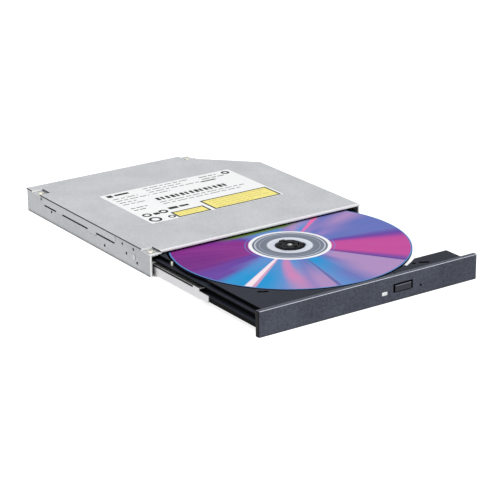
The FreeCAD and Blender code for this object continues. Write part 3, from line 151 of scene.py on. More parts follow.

# Painted shade in corners and gaps, darker where less open sky is found within a reach
corner_shade_group, given, end = effect("Corner shade", [("Reach", "Float", 0.001), ("Amount", "Float", 1.0)],
                             [("Mask", "Float")])
open_sky = put(corner_shade_group, "AmbientOcclusion", {"samples": 8}, Distance=given["Reach"]).outputs["AO"]
feed(corner_shade_group, product(corner_shade_group, ranged(corner_shade_group, open_sky, 0.88, 0.42), given["Amount"]), end["Mask"])

# Faces and rounded edges that look a given way
facing, given, end = effect("Facing", [("Toward", "Vector", (0, -1, 0)), ("From", "Float", 0.6),
                                       ("To", "Float", 0.9)], [("Mask", "Float")])
look = put(facing, "NewGeometry").outputs["Normal"]
aim = put(facing, "VectorMath", {"operation": "NORMALIZE"}, i0=given["Toward"]).outputs[0]
toward = put(facing, "VectorMath", {"operation": "DOT_PRODUCT"}, i0=look, i1=aim).outputs["Value"]
feed(facing, ranged(facing, toward, given["From"], given["To"]), end["Mask"])


def use(tree, group, **inputs):
    """Places a shader group in a material, with its own values."""
    made = put(tree, "Group", {"node_tree": group})
    for name, value in inputs.items():
        feed(tree, value, made.inputs[name])
    return made.outputs


def looking(tree, way, start, full):
    """The mask of faces that look a given way."""
    return use(tree, facing, Toward=way, From=start, To=full)["Mask"]


def grained(tree, skin, low, high):
    """A level that follows the grain between two values."""
    return ranged(tree, skin["Height"], 0.3, 0.7, low, high)


def material(name):
    """A new material, its node tree and its shader."""
    made = bpy.data.materials.new(name)
    made.use_nodes = True
    return made, made.node_tree, made.node_tree.nodes["Principled BSDF"]


UP = (0, 0, 1)
FRONTWARD = (0, -1, 0)
BARE_METAL_HIGHLIGHT = (0.98, 0.98, 0.98, 1)


def surface(name, colour, roughness, metallic=0.0, gloss=0.06, grain_mm=0.7, stretch=(1, 1, 1),
            mottle=0.05, relief=0.2, edge=0.3, highlight_colour=None, edge_mm=0.2, corner_shade=0.75, reach_mm=1.2,
            lit_edge_ways=(), bare_front_highlight=0.0, side_shade=None, ends=None):
    """Sheet, cast or moulded skin: mottled, with a painted highlight along its sharp edges and painted shade
    in its corners.

    Rounded edges that look one of the listed ways get a painted highlight, and faces that look to
    the front are painted bright by the given share, as bare cut metal with a painted highlight. The
    side colour is painted shade on faces that look sideways or down, and ends is the painted shade
    of those that look left or right.
    """
    made, tree, shader = material(name)
    skin = use(tree, grain, Scale=1 / (grain_mm * MM), Stretch=stretch)
    edge_highlight = use(tree, edge_highlight_group, Width=edge_mm * MM, Amount=edge)
    tone = maths(tree, "ADD", ranged(tree, skin["Height"], 0.32, 0.68, 0, 0.65),
                 ranged(tree, skin["Patch"], 0.35, 0.65, 0, 0.35))
    base = mixed(tree, tone, scaled(colour, 1 - mottle), scaled(colour, 1 + mottle))
    # Faces that look sideways or down are painted this darker colour as shade
    if side_shade:
        base = mixed(tree, looking(tree, UP, 0.9, 0.45), base, side_shade)
    # Faces that look left or right are painted the ends colour as shade
    if ends:
        for side in (-1, 1):
            base = mixed(tree, looking(tree, (side, 0, 0), 0.4, 0.7), base, ends)
    # Sharp edges are lightened towards this colour as a painted highlight
    light = highlight_colour or scaled(colour, 1.5)
    base = mixed(tree, edge_highlight["Mask"], base, light)
    # Rounded edges that look the listed ways get a painted highlight
    for way in lit_edge_ways:
        base = mixed(tree, looking(tree, way, 0.86, 0.96), base, light)
    # Corners and gaps are darkened towards a tenth of the colour: painted shade
    if corner_shade:
        shade_mask = use(tree, corner_shade_group, Reach=reach_mm * MM, Amount=corner_shade)["Mask"]
        base = mixed(tree, shade_mask, base, scaled(colour, 0.1))
    # Faces that look to the front are painted bright, as bare cut metal with a painted highlight
    if bare_front_highlight:
        front = product(tree, looking(tree, FRONTWARD, 0.45, 0.8), bare_front_highlight)
        base = mixed(tree, front, base, BARE_METAL_HIGHLIGHT)
        feed(tree, ranged(tree, front, 0, 1, metallic, 0.1), shader.inputs["Metallic"])
    else:
        shader.inputs["Metallic"].default_value = metallic
    feed(tree, base, shader.inputs["Base Color"])
    feed(tree, grained(tree, skin, roughness - 0.05, roughness + 0.07), shader.inputs["Roughness"])
    feed(tree, put(tree, "Bump", None, Strength=relief, Distance=0.00003, Height=skin["Height"],
                   Normal=edge_highlight["Normal"]).outputs[0], shader.inputs["Normal"])
    shader.inputs["Specular IOR Level"].default_value = gloss
    return made


def dress(node_name, made):
    """Gives a piece of the frame its finish."""
    shown = nodes[node_name]
    shown.data.materials.clear()
    shown.data.materials.append(made)


ZINC = paint(201, 203, 206)
MOUTH_EDGE = -62.55
SLOT_LOW = 7.3
SLOT_HIGH = 8.7
SLOT_WALL = -62.9
FADE = 0.02
SHEET_METALLIC = 0.85
EDGE_METALLIC = 0.1
# The case's sheet is a darker copy of the lid's zinc, painted shade for its upright walls
made = surface("galvanised_sheet", scaled(ZINC, 0.68), 0.46, metallic=SHEET_METALLIC, grain_mm=1.0,
               mottle=0.16, edge=0.35, corner_shade=0.97, reach_mm=2.4)
tree = made.node_tree
shader = tree.nodes["Principled BSDF"]
place = coordinates(tree)
# The front edge of the mouth is painted bright: bare metal with a painted highlight
edge = ranged(tree, place["Y"], (MOUTH_EDGE + 0.15) * MM, MOUTH_EDGE * MM)
sheet = mixed(tree, edge, shader.inputs["Base Color"].links[0].from_socket, BARE_METAL_HIGHLIGHT)
# The upward lips of the left wall's slots are painted near black as shade
lip = product(tree, ranged(tree, place["Z"], (SLOT_LOW - FADE) * MM, SLOT_LOW * MM),
              ranged(tree, place["Z"], (SLOT_HIGH + FADE) * MM, SLOT_HIGH * MM),
              ranged(tree, place["X"], (SLOT_WALL + FADE) * MM, SLOT_WALL * MM),
              looking(tree, UP, 0.5, 0.8))
feed(tree, mixed(tree, lip, sheet, paint(12, 12, 13)), shader.inputs["Base Color"])
feed(tree, ranged(tree, edge, 0, 1, SHEET_METALLIC, EDGE_METALLIC), shader.inputs["Metallic"])
dress("bottom_case", made)


# Top cover
# A flat lid of the same sheet with folded flanges, held by three screws in sunk corners. Its
# sideways faces are painted darker as shade, a dark line of painted shadow runs along its folds,
# and a band along its front edge is painted bright as a highlight over the mouth.
FOLD_LOW = 12.12
HIGHLIGHT_BACK = -60.9
HIGHLIGHT_FRONT = -62.5
# Sideways faces are painted a darker zinc as shade, and front faces bright as bare cut metal with a painted
# highlight
made = surface("cover_sheet", scaled(ZINC, 0.93), 0.47, metallic=SHEET_METALLIC, grain_mm=1.0,
               mottle=0.14, edge=0.25, highlight_colour=BARE_METAL_HIGHLIGHT, bare_front_highlight=1.0, side_shade=scaled(ZINC, 0.74))
tree = made.node_tree
shader = tree.nodes["Principled BSDF"]
place = coordinates(tree)
looks_up = looking(tree, UP, 0.85, 0.98)
looks_front = looking(tree, FRONTWARD, 0.4, 0.6)
folded = maths(tree, "SUBTRACT", 1.0, maths(tree, "MAXIMUM", looks_up, looks_front))
# A dark line of painted shadow along the folds, just below the lid's top
fold_shadow = product(tree, folded, ranged(tree, place["Z"], (FOLD_LOW - 0.03) * MM, FOLD_LOW * MM))
# A band along the front edge of the top is painted bright as a highlight
front_band_highlight = product(tree, looks_up, ranged(tree, place["Y"], HIGHLIGHT_BACK * MM, HIGHLIGHT_FRONT * MM))
sheet = mixed(tree, front_band_highlight, shader.inputs["Base Color"].links[0].from_socket, BARE_METAL_HIGHLIGHT)
feed(tree, mixed(tree, fold_shadow, sheet, paint(12, 13, 14)), shader.inputs["Base Color"])
highlight_share = maths(tree, "MAXIMUM", front_band_highlight, looks_front)
feed(tree, ranged(tree, highlight_share, 0, 1, SHEET_METALLIC, EDGE_METALLIC), shader.inputs["Metallic"])
dress("top_cover", made)


# Cover, board and tray screws
# Small pan-head machine screws with a cross recess, zinc plated on the case and black on the
# tray. Each is headed from wire, with a domed rim round the flat crown that the recess is sunk in.
SCREW_SEGMENTS = 40
CROSS_ARM = 0.58
CROSS_HALF = 0.18
CROSS_TAPER = 0.62
CROSS_DEPTH = 0.55
CROWN = 0.78
DOME = [(0.93, 0.8), (1.0, 0.48), (1.0, 0.0)]
POINT = 0.15
BIG_HEAD_R = 1.4
BIG_HEAD_H = 0.6
SMALL_HEAD_H = 0.35
CROSS = [(1, CROSS_HALF), (CROSS_HALF, CROSS_HALF), (CROSS_HALF, 1), (-CROSS_HALF, 1),
         (-CROSS_HALF, CROSS_HALF), (-1, CROSS_HALF), (-1, -CROSS_HALF), (-CROSS_HALF, -CROSS_HALF),
         (-CROSS_HALF, -1), (CROSS_HALF, -1), (CROSS_HALF, -CROSS_HALF), (1, -CROSS_HALF)]


def ring(mesh, radius, height, segments=SCREW_SEGMENTS):
    """The edges of a level circle."""
    made = bmesh.ops.create_circle(mesh, segments=segments, radius=radius * MM,
                                   matrix=Matrix.Translation((0, 0, height * MM)))
    return list({edge for vert in made["verts"] for edge in vert.link_edges})


def cross_screw(into, x, y, seat, tip, radius, head, thick, turn):
    """One screw. Its head lies above its seat, or below it when its tip is above."""
    mesh = bmesh.new()
    reach = head * CROSS_ARM
    plus = [mesh.verts.new((a * reach * MM, b * reach * MM, thick * MM)) for a, b in CROSS]
    recess = [mesh.edges.new((plus[i], plus[i - 1])) for i in range(len(plus))]
    crown = ring(mesh, head * CROWN, thick)
    bmesh.ops.triangle_fill(mesh, edges=recess + crown, use_beauty=True)
    sunk = bmesh.ops.extrude_edge_only(mesh, edges=recess)["geom"]
    low = [item for item in sunk if isinstance(item, bmesh.types.BMVert)]
    bmesh.ops.translate(mesh, verts=low, vec=(0, 0, -CROSS_DEPTH * thick * MM))
    bmesh.ops.scale(mesh, verts=low, vec=(CROSS_TAPER, CROSS_TAPER, 1))
    floor_edges = [item for item in sunk if isinstance(item, bmesh.types.BMEdge)
                   and all(vert in low for vert in item.verts)]
    bmesh.ops.contextual_create(mesh, geom=floor_edges)
    last = crown
    length = abs(seat - tip)
    for size, height in [(head * wide, thick * high) for wide, high in DOME] + [
            (radius, 0.0), (radius, POINT - length), (radius - POINT, -length)]:
        following = ring(mesh, size, height)
        bmesh.ops.bridge_loops(mesh, edges=last + following)
        last = following
    bmesh.ops.contextual_create(mesh, geom=last)
    bmesh.ops.remove_doubles(mesh, verts=mesh.verts, dist=1e-7)
    bmesh.ops.recalc_face_normals(mesh, faces=mesh.faces)
    place = Matrix.Translation((x * MM, y * MM, seat * MM)) @ Matrix.Rotation(turn, 4, "Z")
    if tip > seat:
        place = place @ Matrix.Rotation(math.pi, 4, "X")
    mesh.transform(place)
    held = bpy.data.meshes.new("one_screw")
    mesh.to_mesh(held)
    mesh.free()
    into.from_mesh(held)
    bpy.data.meshes.remove(held)


def piece(name, mesh, made, body, smooth=35.0):
    """Turns finished mesh work into an object that rides on a body."""
    data = bpy.data.meshes.new(name)
    mesh.to_mesh(data)
    mesh.free()
    data.materials.append(made)
    if smooth:
        data.shade_smooth()
        data.set_sharp_from_angle(angle=math.radians(smooth))
    shown = bpy.data.objects.new(name, data)
    bpy.context.scene.collection.objects.link(shown)
    if body:
        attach(shown, body)
    return shown


def solids(node_name):
    """The lowest and highest corner of each separate solid of a node, in millimetres."""
    mesh = bmesh.new()
    mesh.from_mesh(nodes[node_name].data)
    bmesh.ops.remove_doubles(mesh, verts=mesh.verts, dist=2e-6)
    left = set(mesh.verts)
    found = []
    while left:
        front = {left.pop()}
        reached = set(front)
        while front:
            front = {edge.other_vert(vert) for vert in front for edge in vert.link_edges} & left
            left -= front
            reached |= front
        corners = [[pick(vert.co[i] for vert in reached) / MM for i in range(3)] for pick in (min, max)]
        found.append([Vector(corner) for corner in corners])
    mesh.free()
    return sorted(found, key=lambda box: tuple(round(value, 2) for value in box[0]))


def screw_set(name, node_name, made, body, head_up):
    """Puts a modelled screw in the place of each plain one of a node."""
    mesh = bmesh.new()
    for count, (low, high) in enumerate(solids(node_name)):
        head = (high.x - low.x) / 2
        thick = BIG_HEAD_H if head > BIG_HEAD_R else SMALL_HEAD_H
        ends = (high.z - thick, low.z) if head_up else (low.z + thick, high.z)
        cross_screw(mesh, (low.x + high.x) / 2, (low.y + high.y) / 2, *ends, head * 0.5, head, thick,
                    0.5 + 0.7 * count)
    shown = piece(name, mesh, made, body)
    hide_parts(node_name)


plated = surface("zinc_plated_screws", paint(224, 219, 204), 0.32, metallic=0.9, grain_mm=0.4, edge=0.4,
                 reach_mm=0.5)
screw_set("cover_screw_set", "cover_screws", plated, "case", True)
screw_set("board_screw_set", "board_screws", plated, "case", True)


# Rating label
# A white film sticker on the lid, printed with rows of short grey rules, a row of dark bars, two
# yellow panels with a dark border, and a few rings.
LABEL_TOP = 12.8
INK = 0.012
BORDER = 1.05
PANELS = [(-1.4, 40.3, -26.0, -10.6), (-23.5, -3.7, -26.0, -17.2)]
BAR_ROW_X = -17.9
BAR_PITCH = 2.98
BAR_ROW_Y = (3.0, 7.3)
BAR_WIDTHS = (2.0, 1.5, 1.8, 2.2, 1.6)
BLOCKS = [(-32.8, -24.2, 22.2, 24.4), (-37.4, -34.2, 21.4, 24.9), (-20.8, -15.2, -12.9, -9.8),
          (-14.2, -8.6, -12.4, -10.2), (-31.6, -28.4, -15.9, -12.9), (17.0, 26.6, 15.6, 16.9)]
RINGS = [(-35.2, -21.8, 3.5, 1.4), (-35.4, -13.8, 2.6, 1.2), (-25.4, -13.6, 2.6, 1.3),
         (-25.8, -22.6, 2.1, 1.0), (37.0, 22.6, 2.4, 1.3)]


def slab(mesh, x0, x1, y0, y1, z0, z1):
    """A flat bar between two corners."""
    size = Matrix.Diagonal(((x1 - x0) * MM, (y1 - y0) * MM, (z1 - z0) * MM, 1))
    middle = Matrix.Translation(((x0 + x1) / 2 * MM, (y0 + y1) / 2 * MM, (z0 + z1) / 2 * MM))
    return bmesh.ops.create_cube(mesh, size=1.0, matrix=middle @ size)["verts"]


def film(name, colour, roughness=0.4):
    """Smooth plastic film or the ink on it."""
    return surface(name, colour, roughness, grain_mm=0.5, mottle=0.015, relief=0.08, edge=0.0, corner_shade=0.0,
                   gloss=0.1)


def printed(name, bars, made, z=LABEL_TOP):
    """A layer of ink in bars, each with its ends in X and in Y."""
    mesh = bmesh.new()
    for x0, x1, y0, y1 in bars:
        slab(mesh, x0, x1, y0, y1, z, z + INK)
    piece(name, mesh, made, "case", smooth=0)


def rules(x0, x1, y, height, lengths, gap=0.8):
    """One row of short rules."""
    row = []
    x = x0
    count = 0
    while x < x1:
        width = lengths[count % len(lengths)]
        row.append((x, min(x + width, x1), y, y + height))
        x += width + gap
        count += 1
    return row


dress("rating_label", film("label_film", paint(252, 253, 254)))
ink = film("label_dark_ink", paint(20, 19, 20), roughness=0.5)
printed("label_panel_borders", PANELS, ink)
printed("label_panels", [(x0 + BORDER, x1 - BORDER, y0 + BORDER, y1 - BORDER) for x0, x1, y0, y1 in PANELS],
        film("label_yellow_ink", paint(254, 240, 138)), LABEL_TOP + INK)
ochre_rows = []
for count in range(4):
    ochre_rows += rules(2.6, (37.0, 34.0, 36.0, 24.0)[count], -14.2 - 3.0 * count, 0.55, (5.0, 3.2, 6.4, 2.4))
for count in range(2):
    ochre_rows += rules(-21.6, (-6.0, -9.0)[count], -20.0 - 2.6 * count, 0.5, (3.0, 4.6, 2.2))
printed("label_panel_rules", ochre_rows, film("label_ochre_ink", paint(212, 192, 100)), LABEL_TOP + 2 * INK)
bars = []
for count in range(15):
    x = BAR_ROW_X + BAR_PITCH * count
    bars.append((x, x + BAR_WIDTHS[count % 5], *BAR_ROW_Y))
printed("label_bars", bars + BLOCKS, ink)
small = []
for count in range(4):
    small += rules(-37.2, (-22.0, -17.0, -27.0, -24.0)[count], 17.0 - 3.5 * count, 0.85, (3.8, 2.4, 5.0), 1.1)
    small += rules(-15.0, (14.0, 8.0, 17.0, -4.0)[count], 23.6 - 3.4 * count, 0.8, (3.0, 5.2, 2.2, 4.0), 1.1)
for count in range(2):
    small += rules(20.0, (31.0, 34.0)[count], 22.6 - 3.6 * count, 1.0, (5.2, 2.8), 1.0)
    small += rules(-19.0, (34.0, 30.0)[count], -0.4 - 3.2 * count, 0.8, (4.2, 2.6, 6.0, 3.2), 1.1)
    small += rules(-37.0, (-27.0, -30.0)[count], -1.0 - 3.4 * count, 1.0, (2.6, 4.0), 0.9)
printed("label_rules", small, film("label_grey_ink", paint(112, 114, 118), roughness=0.5))
rings = bmesh.new()
for x, y, radius, line in RINGS:
    outer = ring(rings, radius, 0.0, 48)
    faces = bmesh.ops.bridge_loops(rings, edges=outer + ring(rings, radius - line, 0.0, 48))["faces"]
    grown = bmesh.ops.extrude_face_region(rings, geom=faces)["geom"]
    raised = [item for item in grown if isinstance(item, bmesh.types.BMVert)]
    bmesh.ops.translate(rings, verts=raised, vec=(0, 0, INK * MM))
    own = list({vert for face in faces for vert in face.verts} | set(raised))
    bmesh.ops.translate(rings, verts=own, vec=(x * MM, y * MM, LABEL_TOP * MM))
bmesh.ops.recalc_face_normals(rings, faces=rings.faces)
piece("label_rings", rings, ink, "case", smooth=0)


# Slot shade sheets
# Black strips stuck inside the left wall, behind its slots: dark sheets put there as painted shade, so that
# the slots look dark.
SHADE_SHEETS = [(-29.6, -22.2, 7.65), (-21.9, -10.0, 7.0), (-2.9, 25.0, 7.0), (30.0, 44.8, 7.0)]
SHADE_SHEET_OUT = -63.03
SHADE_SHEET_IN = -62.6
SHADE_SHEET_TOP = 9.2


def rounded(mesh, edges, offset, segments):
    """Rounds off edges with a bevel."""
    bmesh.ops.bevel(mesh, geom=edges, offset=offset * MM, segments=segments, profile=0.5,
                    affect="EDGES", material=-1)


shade_sheets = bmesh.new()
for y0, y1, low_z in SHADE_SHEETS:
    slab(shade_sheets, SHADE_SHEET_OUT, SHADE_SHEET_IN, y0, y1, low_z, SHADE_SHEET_TOP)
rounded(shade_sheets, shade_sheets.edges[:], 0.1, 2)
shade_black = surface("slot_shade_black", paint(14, 14, 15), 0.9, gloss=0.0, grain_mm=0.3, mottle=0.3, relief=0.8,
               edge=0.0)
piece("slot_shade_sheets", shade_sheets, shade_black, "case", smooth=0)


# Main board and what is soldered on it
# A green glass-fibre board under the lid's rear half with moulded chips and a flex socket, and
# the flush rear connector with its row of gilded contacts.
made, tree, shader = material("green_board")
mask_green = paint(18, 92, 62)
spot = put(tree, "TexCoord").outputs["Object"]
runs = put(tree, "TexBrick", {"offset": 0.37, "squash": 0.6}, Vector=spot, Scale=230.0, Mortar_Size=0.055,
           Color1=mask_green, Color2=scaled(mask_green, 0.75), Mortar=paint(40, 132, 88))
vias = put(tree, "TexVoronoi", None, Vector=spot, Scale=380.0)
hole = ranged(tree, vias.outputs["Distance"], 0.1, 0.14, 1, 0)
feed(tree, mixed(tree, hole, runs.outputs["Color"], paint(200, 170, 90)), shader.inputs["Base Color"])
skin = use(tree, grain, Scale=2200.0)
feed(tree, grained(tree, skin, 0.24, 0.36), shader.inputs["Roughness"])
feed(tree, put(tree, "Bump", None, Strength=0.3, Distance=0.00003, Height=runs.outputs["Fac"]).outputs[0],
     shader.inputs["Normal"])
green_board = made
dress("main_board", green_board)
epoxy = surface("chip_epoxy", paint(36, 36, 38), 0.45, mottle=0.08)
dress("board_parts", epoxy)
socket_black = surface("connector_plastic", paint(26, 26, 28), 0.4, mottle=0.08)
dress("rear_connector", socket_black)
gilded = surface("gilded_contacts", paint(236, 196, 120), 0.22, metallic=1.0, grain_mm=0.5)
dress("connector_contacts", gilded)


# Ejector, latch post and the main flex
# A white pin in a wound steel spring that pushes the tray off when it is unlatched, the turned
# post that the latch hooks, and the flat flex that follows the tray.
ivory = surface("ivory_acetal", paint(228, 226, 214), 0.4, mottle=0.03, edge=0.1)
dress("ejector_pin", ivory)
spring_steel = surface("spring_wire", paint(190, 190, 192), 0.28, metallic=1.0, grain_mm=0.4, edge=0.0)
dress("ejector_spring", spring_steel)
turned_steel = surface("turned_steel", paint(205, 206, 208), 0.22, metallic=1.0, grain_mm=0.5,
                       stretch=(1, 1, 8))
dress("latch_post", turned_steel)


def flex(name, film_colour, track_colour, pitch, angle=0.0):
    """Flat flex: parallel copper tracks that shine through a plastic film."""
    made, tree, shader = material(name)
    spot = put(tree, "TexCoord").outputs["Object"]
    turned_to = put(tree, "Mapping", None, Vector=spot, Rotation=(0, 0, angle)).outputs[0]
    tracks = put(tree, "TexWave", {"bands_direction": "X"}, Vector=turned_to,
                 Scale=2 * math.pi / (20 * pitch * MM))
    mask = ranged(tree, tracks.outputs["Fac"], 0.35, 0.6)
    feed(tree, mixed(tree, mask, film_colour, track_colour), shader.inputs["Base Color"])
    skin = use(tree, grain, Scale=900.0)
    feed(tree, grained(tree, skin, 0.2, 0.32), shader.inputs["Roughness"])
    feed(tree, put(tree, "Bump", None, Strength=0.4, Distance=0.00003, Height=mask).outputs[0],
         shader.inputs["Normal"])
    shader.inputs["Coat Weight"].default_value = 0.3
    return made


pale_flex = flex("pale_flex", paint(214, 208, 188), paint(186, 176, 150), 0.5)
dress("main_flex", pale_flex)


# Slide rails and their guides
# Bright steel channels rolled from strip, brushed along their length, with a dark strip along the
# outer face below the flange, that run in pale acetal guides fixed inside the case walls.
# Faces that look to the front are painted bright as bare cut metal with a painted highlight
rail_steel = surface("bright_rail_steel", paint(190, 190, 192), 0.3, metallic=0.95, grain_mm=0.9,
                     stretch=(6, 0.12, 6), mottle=0.06, edge=0.3, bare_front_highlight=0.6)
guide_acetal = surface("pale_acetal", paint(226, 227, 228), 0.42, mottle=0.03, corner_shade=0.97, reach_mm=2.6)
dark_strip = surface("rail_dark_strip", paint(20, 20, 21), 0.3, grain_mm=1.5, mottle=0.2, corner_shade=0.0)
STRIP_TOP = 0.12
STRIP_LOW = 1.15
STRIP_OUT = 0.015
STRIP_SUNK = 0.01
STRIP_START = 13.2
STRIP_STOP = 1.5


def extent(node_name):
    """The lowest and highest corner of a node, in millimetres."""
    return [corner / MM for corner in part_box(node_name)]


for side, way in (("left", 1), ("right", -1)):
    dress("slide_rail_" + side, rail_steel)
    dress("rail_guide_" + side, guide_acetal)
    low, high = extent("slide_rail_" + side)
    outer = low.x if way > 0 else high.x
    x0, x1 = sorted((outer - way * STRIP_OUT, outer + way * STRIP_SUNK))
    mesh = bmesh.new()
    slab(mesh, x0, x1, low.y + STRIP_START, high.y - STRIP_STOP, high.z - STRIP_LOW, high.z - STRIP_TOP)
    line = piece("rail_dark_strip_" + side, mesh, dark_strip, "rail_" + side, smooth=0)


# Tray
# One moulding of black glass-filled plastic: rim, sunk pocket, side walls and runners. The top
# is lightly sparked, its sharp edges get a painted highlight, and the faces that look sideways or
# down are painted nearly black as shade.
# Sideways and downward faces are painted nearly black as shade; sharp edges get a painted highlight
tray_black = surface("tray_plastic", paint(49, 52, 61), 0.55, gloss=0.03, grain_mm=0.9, mottle=0.25,
                     relief=0.35, edge=0.3, highlight_colour=paint(84, 87, 96), corner_shade=0.97, reach_mm=2.6,
                     side_shade=paint(8, 8, 10))
dress("tray", tray_black)
STOP_LOW = (-59.25, -75.3, 8.5)
STOP_HIGH = (-58.45, -74.2, 11.0)
stop = bmesh.new()
slab(stop, *[coordinate for pair in zip(STOP_LOW, STOP_HIGH) for coordinate in pair])
rounded(stop, stop.edges[:], 0.25, 3)
piece("tray_stop_pad", stop, ivory, "tray_unit")


# Bezel, button and status light
# The front bar is a separate moulding in the same black with a coarser, satin texture, a painted
# highlight along its top front edges and painted shade on its end faces. The button is a cap of the
# same plastic, painted the same way, and the light is a clear insert.
# Painted highlight along the sharp and top front edges, painted shade on the end faces and in corners
dress("front_bezel", surface("bezel_plastic", paint(79, 83, 95), 0.5, gloss=0.1, grain_mm=0.8, mottle=0.42,
                             relief=0.45, edge=0.2, highlight_colour=paint(214, 218, 228), edge_mm=0.3,
                             lit_edge_ways=((0, -0.7, 0.7),), corner_shade=0.97, reach_mm=1.2, ends=paint(18, 18, 22)))
# Painted highlight along the sharp and top front edges, painted shade on the end faces and in corners
dress("eject_button", surface("button_plastic", paint(62, 64, 72), 0.45, gloss=0.1, grain_mm=0.5,
                              mottle=0.15, relief=0.3, edge=0.35, highlight_colour=paint(140, 144, 154),
                              lit_edge_ways=((0, -0.7, 0.7),), reach_mm=1.6, corner_shade=0.97, ends=paint(10, 10, 12)))
PLAY = 0.02
HEAD_OUT = 0.05
HEAD_BACK = 1.5
STEM_IN = 0.6
RIB_PITCH = 0.8
RIB_HALF = 0.1
low, high = extent("light_pipe")
lens_mesh = bmesh.new()
slab(lens_mesh, low.x + PLAY, high.x - PLAY, low.y - HEAD_OUT, high.y - HEAD_BACK,
     low.z + PLAY, high.z - PLAY)
sides = [edge for edge in lens_mesh.edges if abs(edge.verts[0].co.y - edge.verts[1].co.y) > 0.1 * MM]
rounded(lens_mesh, sides, 0.3, 4)
brow = [edge for edge in lens_mesh.edges if max(vert.co.y for vert in edge.verts) < (low.y + 0.5) * MM]
rounded(lens_mesh, brow, 0.12, 3)
slab(lens_mesh, low.x + STEM_IN, high.x - STEM_IN, high.y - HEAD_BACK - 0.2, high.y,
     low.z + 0.4, high.z - 0.4)
for count in range(3):
    middle = low.x + RIB_PITCH * (count + 1)
    rib = slab(lens_mesh, middle - RIB_HALF, middle + RIB_HALF, low.y - 0.16, low.y + 0.3,
               low.z + 0.35, high.z - 0.35)
    rounded(lens_mesh, list({edge for vert in rib for edge in vert.link_edges}), 0.05, 2)
window = surface("milky_window", paint(252, 253, 254), 0.2, gloss=0.4, grain_mm=0.5, mottle=0.02, edge=0.0,
                 corner_shade=0.0)
light = piece("status_light", lens_mesh, window, "tray_unit")
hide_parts("light_pipe")


# Front board, sockets and flexes under the tray
# A small green board behind the bezel with the eject switch and the light, and the flat flexes
# that join it to the main flex and to the pickup.
dress("tray_board", green_board)
dress("front_board_parts", socket_black)
dress("tray_flex_socket", ivory)
dress("tray_flex", flex("tray_flex_film", paint(214, 208, 188), paint(186, 176, 150), 0.5))


def cut_across(mesh, cuts, along):
    """Cuts a mesh across at even steps, so that it can bend."""
    ends = [along.dot(vert.co) for vert in mesh.verts]
    first, last = min(ends), max(ends)
    for step in range(1, cuts):
        everything = mesh.verts[:] + mesh.edges[:] + mesh.faces[:]
        bmesh.ops.bisect_plane(mesh, geom=everything, dist=1e-7, plane_no=along,
                               plane_co=along * (first + (last - first) * step / cuts))


def bendable(name, node_name, made, cuts, along):
    """A merged copy of a frame piece, cut across in many places."""
    mesh = bmesh.new()
    mesh.from_mesh(nodes[node_name].data)
    bmesh.ops.remove_doubles(mesh, verts=mesh.verts, dist=1e-6)
    cut_across(mesh, cuts, along)
    shown = piece(name, mesh, made, None, smooth=30)
    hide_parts(node_name)
    return shown


HUB = Vector((0.8, -88.65, 0.0))
TRAVEL = math.radians(225)
ACROSS = Vector((-math.sin(TRAVEL), math.cos(TRAVEL), 0))


amber = flex("amber_flex", paint(168, 110, 44), paint(196, 140, 70), 0.45, -TRAVEL)
strip = bendable("pickup_flex_strip", "pickup_flex", amber, 14, ACROSS)
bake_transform(strip)
SLACK_START = -63.4
SLACK_END = -43.4
SLACK_LOW = 7.36
SLACK_TOP = 7.48
low, high = extent("main_flex")
slack = bmesh.new()
slab(slack, low.x, high.x, SLACK_START, SLACK_END, SLACK_LOW, SLACK_TOP)
cut_across(slack, 16, Vector((0, 1, 0)))
slack_strip = piece("tray_flex_slack", slack, pale_flex, None, smooth=0)
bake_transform(slack_strip)


# Shield, window plate and the tray's screws
# A thin steel sheet that closes the tray's underside, the black plate round the turntable, and
# black screws with a cross recess.
dress("bottom_shield", surface("shield_sheet", scaled(ZINC, 0.9), 0.42, metallic=0.85))
dress("window_plate", surface("black_plate", paint(34, 34, 37), 0.5, metallic=0.2))
blackened = surface("black_screws", paint(64, 64, 68), 0.4, metallic=0.8, grain_mm=0.4, reach_mm=0.5)
screw_set("tray_screw_set", "tray_screws", blackened, "tray_unit", False)


# Latch and emergency release
# A white hooked lever on a pivot with a small spring, the wound magnet that holds it, and the
# slider that a pin pushes through the bezel's hole.
dress("latch_lever", ivory)
dress("latch_spring", spring_steel)
dress("emergency_slider", ivory)


def winding(name, axis):
    """Enamelled copper wire wound side by side."""
    made, tree, shader = material(name)
    spot = put(tree, "TexCoord").outputs["Object"]
    turns = put(tree, "TexWave", {"bands_direction": axis}, Vector=spot, Scale=1300.0).outputs["Fac"]
    feed(tree, mixed(tree, turns, paint(96, 40, 18), paint(186, 96, 48)), shader.inputs["Base Color"])
    skin = use(tree, grain, Scale=1500.0)
    feed(tree, grained(tree, skin, 0.28, 0.4), shader.inputs["Roughness"])
    feed(tree, put(tree, "Bump", None, Strength=0.5, Distance=0.00005, Height=turns).outputs[0],
         shader.inputs["Normal"])
    shader.inputs["Metallic"].default_value = 0.6
    return made


dress("latch_magnet", winding("magnet_winding", "X"))


